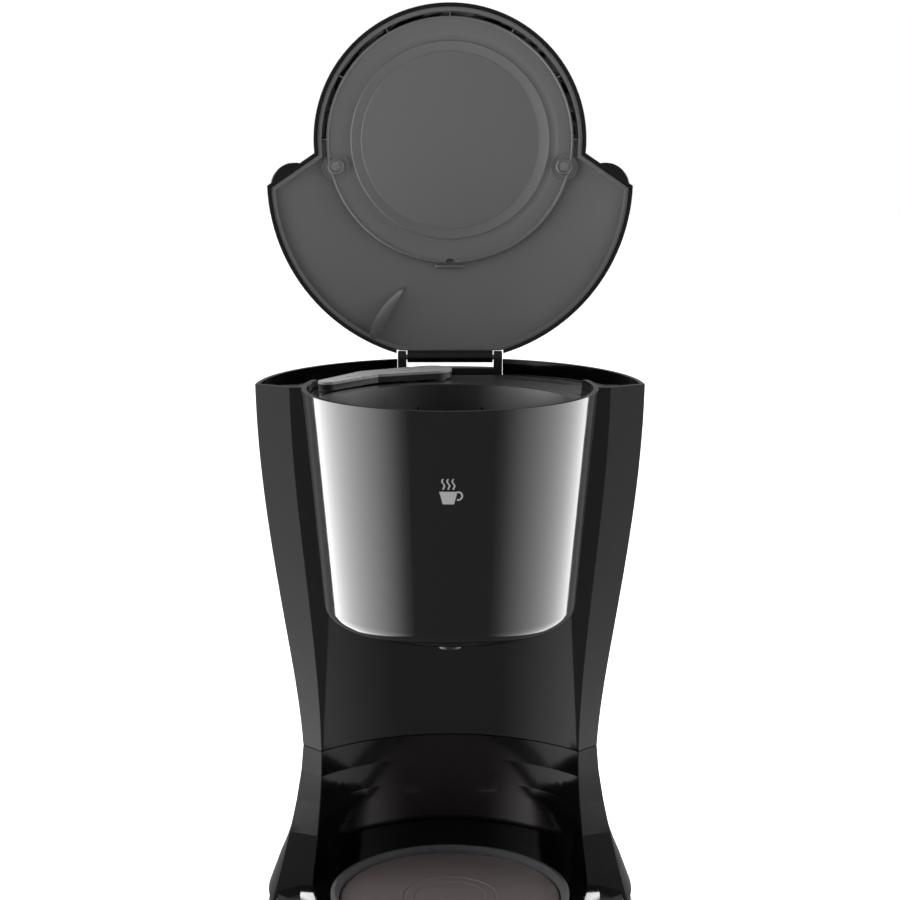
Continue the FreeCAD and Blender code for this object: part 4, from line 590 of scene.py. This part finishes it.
# %% Disc
DISC_FACE = PANEL_LEVEL / MM - 2.0
DISC_PROFILE = [  # radius, and rise from the disc's face, both in mm
    (0, 2), (72.6, 2), (72.6, -0.4), (72.2, -0.8), (71.7, -0.8), (71.3, -0.4), (71.1, 0),
    (64.4, 0), (63.2, 0.25), (61.8, 0.75), (60.6, 0.9), (58.7, 0.9), (58.4, 0.3),
    (57.9, 0.1), (57.4, 0.3), (52.5, 1.7), (52.1, 1.5), (51.6, 1.4), (0, 1.3)]


def from_disc_face(profile):
    return [(radius, DISC_FACE + rise) for radius, rise in profile]


disc = spun("steam_disc", from_disc_face(DISC_PROFILE))


# %% Finger notch
NOTCH_R = 2.6 * MM
NOTCH_DEEP = 6 * MM
NOTCH_Y = 72.4 * MM


def finish_disc(disc):
    bare_scene()
    bpy.ops.mesh.primitive_cylinder_add(vertices=24, radius=NOTCH_R, depth=NOTCH_DEEP,
                                        location=(0, NOTCH_Y, DISC_FACE * MM))
    carve(disc, bpy.context.object, "finger_notch")
    bpy.ops.object.shade_smooth_by_angle(angle=radians(20))
    open_the_lid(disc)
    return settle(disc, "lid", "dark_grey_satin", "lid_disc")


finish_disc(disc)


# %% [markdown]
# Round each screw the disc has a raised collar in a shallow round pocket.

# %% Screw collars
SCREW_X, SCREW_Y = 67 * MM, 16 * MM
COLLAR_PROFILE = [  # radius, and rise from the disc's face, both in mm
    (3.1, 1.0), (3.1, -1.1), (3.5, -1.5), (4.3, -1.5), (4.7, -1.1), (4.9, 0.1),
    (7.2, 0.1), (7.5, -0.4), (7.9, -0.4), (8.1, 0.2), (8.1, 1.0)]
for side, name in ((-1, "left"), (1, "right")):
    collar = spun("screw_collar_" + name, from_disc_face(COLLAR_PROFILE),
                  centre=(side * SCREW_X, SCREW_Y), steps=48)
    bpy.ops.object.shade_smooth_by_angle(angle=radians(30))
    open_the_lid(collar)
    settle(collar, "lid", "dark_grey_satin")


# %% [markdown]
# ## Ribs, tab and cam fin
# Seven small ribs cross the channel round the disc. A snap tab holds the disc at
# the back. The fin is a cam: as the lid closes, it pushes the water arm over
# the basket. It is one triangle extruded along its path, growing and then
# shrinking.

# %% Channel ribs
RIB_MM = (0.7, 3.4, 2.6)
RIB_PLACE = Matrix.Translation((0, -74.1 * MM, PANEL_LEVEL - 1.2 * MM))


def model_rib(name, angle):
    rib = block(name, *RIB_MM)
    soften(rib, 0.15)
    rib.data.transform(Matrix.Rotation(angle, 4, "Z") @ RIB_PLACE)
    open_the_lid(rib)
    return settle(rib, "lid", "dark_grey_satin")


for index, turn in enumerate(range(-90, 91, 30)):
    model_rib("channel_rib_" + str(index + 1), radians(turn))


# %% Snap tab
TAB_MM = (18, 1.6, 2.4)
TAB_PLACE = Matrix.Translation((0, 74.4 * MM, PANEL_LEVEL - 1.1 * MM))


def model_tab():
    tab = block("disc_snap_tab", *TAB_MM)
    bpy.ops.object.mode_set(mode="EDIT")
    select_faces(tab, lambda f: f.normal.z < -0.9)
    bpy.ops.transform.resize(value=(0.86, 0.6, 1))
    bpy.ops.object.mode_set(mode="OBJECT")
    soften(tab, 0.2)
    tab.data.transform(TAB_PLACE)
    open_the_lid(tab)
    return settle(tab, "lid", "dark_grey_satin")


model_tab()


# %% Cam fin
FIN_STEPS = [  # ridge x, ridge y, foot x, foot y, height, all in mm
    (-26.8, 86.6, -26.2, 86.9, 0.5), (-31.0, 89.6, -28.3, 90.5, 2.6),
    (-36.0, 94.4, -31.2, 96.2, 5.0), (-40.6, 100.0, -34.6, 102.6, 7.0),
    (-44.0, 106.0, -38.0, 109.0, 8.2), (-46.2, 112.2, -41.6, 115.0, 8.4),
    (-46.9, 116.6, -44.4, 118.4, 6.4)]
FIN_SUNK = 0.4  # the root's depth inside the panel, in mm


def fin_section(step):
    ridge_x, ridge_y, foot_x, foot_y, high = step
    root = PANEL_LEVEL / MM + FIN_SUNK
    ridge = root - FIN_SUNK - high
    corners = ((ridge_x, ridge_y, root), (ridge_x, ridge_y, ridge), (foot_x, foot_y, root))
    return [Vector(corner) * MM for corner in corners]


def model_fin():
    bare_scene()
    bpy.ops.mesh.primitive_circle_add(vertices=3, radius=MM, fill_type="NGON", location=(0, 0, 0))
    fin = bpy.context.object
    fin.name = "lid_cam_fin"
    for vertex, place in zip(fin.data.vertices, fin_section(FIN_STEPS[0])):
        vertex.co = place
    edit_all()
    for step in FIN_STEPS[1:]:
        bpy.ops.mesh.extrude_region_move(TRANSFORM_OT_translate={"value": (0, 0, 0)})
        mesh = bmesh.from_edit_mesh(fin.data)
        ends = [v for v in mesh.verts if v.select]
        for vertex, place in zip(sorted(ends, key=lambda v: v.index), fin_section(step)):
            vertex.co = place
        bmesh.update_edit_mesh(fin.data)
    bpy.ops.mesh.select_all(action="SELECT")
    bpy.ops.mesh.normals_make_consistent(inside=False)
    bpy.ops.object.mode_set(mode="OBJECT")
    soften(fin, 0.35, angle=50)
    open_the_lid(fin)
    return settle(fin, "lid", "dark_grey_satin")


model_fin()


# %% [markdown]
# ## Finger tabs
# To open the lid, two rounded grips stand out of the dome past its slanted edges.
# Each is a flattened sphere with its lower half cut away.

# %% Finger tabs
GRIP_HALF_SIZE = (13 * MM, 11 * MM, 4.6 * MM)
GRIP_CUT_LEVEL = -1.2 * MM
GRIP_X, GRIP_Y, GRIP_LEVEL = 93.5 * MM, 24.5 * MM, 327.6 * MM
GRIP_TURN = radians(36)


def model_grip(name, side):
    bare_scene()
    bpy.ops.mesh.primitive_uv_sphere_add(segments=40, ring_count=20, radius=1, location=(0, 0, 0))
    grip = bpy.context.object
    grip.name = name
    grip.scale = GRIP_HALF_SIZE
    bpy.ops.object.transform_apply(location=True, rotation=True, scale=True)
    edit_all()
    bpy.ops.mesh.bisect(plane_co=(0, 0, GRIP_CUT_LEVEL), plane_no=(0, 0, 1),
                        clear_inner=True, use_fill=True)
    bpy.ops.object.mode_set(mode="OBJECT")
    soften(grip, 0.5, segments=3)
    grip.data.transform(Matrix.Translation((side * GRIP_X, GRIP_Y, GRIP_LEVEL))
                        @ Matrix.Rotation(side * GRIP_TURN, 4, "Z"))
    open_the_lid(grip)
    return settle(grip, "lid", "black_gloss")


model_grip("finger_grip_left", -1)
model_grip("finger_grip_right", 1)


# %% [markdown]
# ## The badge
# The front of the brew housing carries a small silver-grey badge. Here it is a
# plain sign for a hot drink: a cup, its ear and three wisps of steam. Such a badge is
# pad printed or hot stamped as a film a few hundredths thick. It is drawn a
# little thicker, as flat shapes that are then wrapped onto the cone.

# %% Badge measures
HOUSING_LOW_LEVEL, HOUSING_LOW_R = 200.0 * MM, 66.1 * MM
HOUSING_RIM_LEVEL, HOUSING_RIM_R = 323.6 * MM, 77.5 * MM
BADGE_LEVEL = 283.0 * MM
BADGE_THICK = 0.25 * MM


def housing_radius(level):
    share = (level - HOUSING_LOW_LEVEL) / (HOUSING_RIM_LEVEL - HOUSING_LOW_LEVEL)
    return HOUSING_LOW_R + (HOUSING_RIM_R - HOUSING_LOW_R) * share


print("housing radius at the badge, mm:", round(housing_radius(BADGE_LEVEL) / MM, 2))


# %% Wrapping helper
def wrap_on_housing(piece):
    for vertex in piece.data.vertices:
        across, out, up = vertex.co
        radius = housing_radius(BADGE_LEVEL + up) + out
        turn = across / housing_radius(BADGE_LEVEL)
        vertex.co = (radius * sin(turn), -radius * cos(turn), BADGE_LEVEL + up)
    edit_all()
    bpy.ops.mesh.normals_make_consistent(inside=False)
    bpy.ops.object.mode_set(mode="OBJECT")


# %% [markdown]
# The cup is a box, narrowed at its foot. The ear is a flat ring with the
# half that lies inside the cup cut away. Each wisp is a chain of short
# blocks that sway to and fro, extruded from one small face.

# %% Badge cup
CUP_WIDE_MM, CUP_HIGH_MM = 9.0, 6.4
CUP_FOOT_SHARE = 0.62    # foot's width against the rim's
CUP_PLACE = Matrix.Translation((-0.8 * MM, 0, -3.0 * MM))


def badge_cup():
    cup = block("badge_cup", CUP_WIDE_MM, BADGE_THICK / MM, CUP_HIGH_MM)
    bpy.ops.object.mode_set(mode="EDIT")
    select_faces(cup, lambda f: f.normal.z < -0.9)
    bpy.ops.transform.resize(value=(CUP_FOOT_SHARE, 1, 1))
    bpy.ops.mesh.select_all(action="SELECT")
    bpy.ops.mesh.subdivide(number_cuts=4)
    bpy.ops.object.mode_set(mode="OBJECT")
    cup.data.transform(CUP_PLACE)
    wrap_on_housing(cup)
    return settle(cup, "housing", "grey_satin")


badge_cup()


# %% Badge ear
EAR_R = 2.0 * MM
EAR_LINE_R = 0.45 * MM
EAR_CUT = -0.6 * MM
EAR_FLATTEN = 0.28
EAR_PLACE = Matrix.Translation((4.0 * MM, 0, -2.0 * MM))


def badge_ear():
    bare_scene()
    bpy.ops.mesh.primitive_torus_add(
        major_radius=EAR_R, minor_radius=EAR_LINE_R, major_segments=32, minor_segments=4,
        rotation=(pi / 2, 0, 0), location=(0, 0, 0))
    ear = bpy.context.object
    ear.name = "badge_ear"
    bpy.ops.object.transform_apply(location=True, rotation=True, scale=True)
    edit_all()
    bpy.ops.mesh.bisect(plane_co=(EAR_CUT, 0, 0), plane_no=(1, 0, 0),
                        clear_inner=True, use_fill=True)
    bpy.ops.mesh.select_all(action="SELECT")
    bpy.ops.transform.resize(value=(1, EAR_FLATTEN, 1))
    bpy.ops.object.mode_set(mode="OBJECT")
    ear.data.transform(EAR_PLACE)
    wrap_on_housing(ear)
    return settle(ear, "housing", "grey_satin")


badge_ear()


# %% Badge steam
WISP_WIDE_MM = 0.8
WISP_STEP = 0.6 * MM
WISP_LEVEL = 1.6 * MM    # above the middle of the badge
WISP_SWAY = (0.0, 0.45, 0.6, 0.45, 0.0, -0.45, -0.6, -0.45, 0.0)    # mm at each step


def badge_wisp(name, across_mm):
    wisp = block(name, WISP_WIDE_MM, BADGE_THICK / MM, WISP_STEP / MM)
    bpy.ops.object.mode_set(mode="EDIT")
    select_faces(wisp, lambda f: f.normal.z > 0.9)
    for here, there in zip(WISP_SWAY, WISP_SWAY[1:]):
        bpy.ops.mesh.extrude_region_move(
            TRANSFORM_OT_translate={"value": ((there - here) * MM, 0, WISP_STEP)})
    bpy.ops.object.mode_set(mode="OBJECT")
    wisp.data.transform(Matrix.Translation((across_mm * MM, 0, WISP_LEVEL)))
    wrap_on_housing(wisp)
    return settle(wisp, "housing", "grey_satin")


for name, across in (("left", -3.3), ("middle", -0.8), ("right", 1.7)):
    badge_wisp("badge_wisp_" + name, across)


# %% [markdown]
# ## The studio
# Glossy black shows little but what it mirrors, so the light is the look. Two
# long soft panels stand left and right of the machine. Each is bright at its far
# end and fades towards the camera, so a round body shows a bright
# band near each edge that melts into a dark middle. The floor is plain and pale.
# The panels light it, but it is kept out of the mirror images, as a black card in
# front of a product does.

# %% Camera
CAMERA_PLACE = (0, -1.01767, 0.48409)
CAMERA_LOOKS_DOWN = 10.8    # degrees
CAMERA_LENS_MM, SENSOR_MM = 78.88, 36


def build_camera():
    data = bpy.data.cameras.new("camera")
    data.lens = CAMERA_LENS_MM
    data.sensor_width = SENSOR_MM
    camera = bpy.data.objects.new("camera", data)
    camera.location = CAMERA_PLACE
    camera.rotation_euler = (radians(90 - CAMERA_LOOKS_DOWN), 0, 0)
    bpy.context.scene.collection.objects.link(camera)
    bpy.context.scene.camera = camera


build_camera()
bpy.context.scene.view_settings.view_transform = "Standard"
print("camera looks down by", CAMERA_LOOKS_DOWN, "degrees")


# %% Floor
FLOOR_R = 6
FLOOR_BORDER = 4


def pale_floor():
    bare_scene()
    bpy.ops.mesh.primitive_circle_add(vertices=96, radius=FLOOR_R, fill_type="NGON",
                                      location=(0, 0, 0))
    floor = bpy.context.object
    floor.name = "pale_floor"
    edit_all()
    bpy.ops.mesh.inset(thickness=FLOOR_BORDER)
    bpy.ops.object.mode_set(mode="OBJECT")
    material, tree, surface, place = new_surface("paper_matt_white", Roughness=0.9)
    fibres = add_node(tree, "ShaderNodeTexNoise", {"Scale": per_metre(4), "Detail": 4.0},
                      {"Vector": place})
    tint = add_node(tree, "ShaderNodeMix", {"data_type": "RGBA"},
                    {"Factor": fibres.outputs["Fac"]})
    tint.inputs["A"].default_value = linear("#f6f6f6")
    tint.inputs["B"].default_value = linear("#fafafa")
    tree.links.new(tint.outputs["Result"], surface.inputs["Base Color"])
    floor.data.materials.append(material)
    floor.visible_glossy = False


pale_floor()
print("floor radius in metres:", FLOOR_R)


# %% [markdown]
# A panel's glow is a ramp from its first edge to its last, seen from behind it
# from left to right. The left panel's first edge is the far one. The right panel
# faces the other way, so its first edge is the near one.

# %% Side panels
PANEL_OUT = 1.2     # metres from the middle
PANEL_RISE = 0.15
PANEL_TALL = 2.9
PANEL_SIDES = {"left": (-PANEL_OUT, -0.44, 2.8), "right": (PANEL_OUT, -0.25, 2.7)}  # x, y, width


def soft_panel(name, side, first_edge, last_edge):
    out, along, width = PANEL_SIDES[side]
    place = Vector((out, along, PANEL_RISE))
    aim = Vector((0, along, PANEL_RISE))
    data = bpy.data.lights.new(name, "AREA")
    data.shape = "RECTANGLE"
    data.size = width
    data.size_y = PANEL_TALL
    data.energy = pi * width * PANEL_TALL
    data.use_nodes = True
    tree = data.node_tree
    across = add_node(tree, "ShaderNodeNewGeometry").outputs["Parametric"]
    split = add_node(tree, "ShaderNodeSeparateXYZ", links={"Vector": across})
    fade = add_node(tree, "ShaderNodeMapRange",
                    {"interpolation_type": "SMOOTHSTEP",
                     "To Min": first_edge, "To Max": last_edge},
                    {"Value": split.outputs["X"]})
    tree.links.new(fade.outputs["Result"], tree.nodes["Emission"].inputs["Strength"])
    panel = bpy.data.objects.new(name, data)
    panel.location = place
    panel.rotation_euler = (aim - place).to_track_quat("-Z", "Y").to_euler()
    panel.visible_camera = False
    bpy.context.scene.collection.objects.link(panel)
    return panel


panels = [
    soft_panel("panel_left", "left", 7.9, 0.2),
    soft_panel("panel_right", "right", 0.1, 5.3)]
print("side panels:", len(panels))


# %% [markdown]
# The column and the base would mirror the same panels as brightly as the cup does, and
# the cup would be lost among them. In a studio the light is held off such parts with
# a black card, called a flag. Light linking does the same here: the bright panels
# leave these pieces out, and a dim pair in the same places lights only them.

# %% Flags
def link_light(light, state, pieces):
    chosen = bpy.data.collections.new(light.name + "_pieces")
    for piece in pieces:
        chosen.objects.link(piece)
    for link in chosen.collection_objects:
        link.light_linking.link_state = state
    light.light_linking.receiver_collection = chosen


quiet_pieces = [NODES[name] for name in ("column_housing", "base_neck", "base_tray")]
for panel in panels:
    link_light(panel, "EXCLUDE", quiet_pieces)
dim_panels = [
    soft_panel("dim_panel_left", "left", 1.3, 0.05),
    soft_panel("dim_panel_right", "right", 0.05, 0.8)]
for panel in dim_panels:
    link_light(panel, "INCLUDE", quiet_pieces)
print("dim panels:", len(dim_panels))


# %% [markdown]
# A wide soft sun above and behind the machine lights the floor and the upward
# faces. The surroundings glow white for the camera, as a backdrop does, and only
# faintly for everything else.

# %% Key light and surroundings
KEY_STRENGTH = 4.2
KEY_SPREAD = radians(30)
KEY_LEAN = radians(-32)
SURROUND_GLOW, BACKDROP_GLOW = 0.22, 1.0


def key_light():
    data = bpy.data.lights.new("key", "SUN")
    data.energy = KEY_STRENGTH
    data.angle = KEY_SPREAD
    key = bpy.data.objects.new("key", data)
    key.rotation_euler = (KEY_LEAN, 0, 0)
    bpy.context.scene.collection.objects.link(key)


key_light()
world = bpy.data.worlds.new("studio")
bpy.context.scene.world = world
world.use_nodes = True
tree = world.node_tree
seen = add_node(tree, "ShaderNodeLightPath").outputs["Is Camera Ray"]
strength = add_node(tree, "ShaderNodeMapRange",
                    {"To Min": SURROUND_GLOW, "To Max": BACKDROP_GLOW}, {"Value": seen})
backdrop = tree.nodes["Background"]
backdrop.inputs["Color"].default_value = linear("#ffffff")
tree.links.new(strength.outputs["Result"], backdrop.inputs["Strength"])
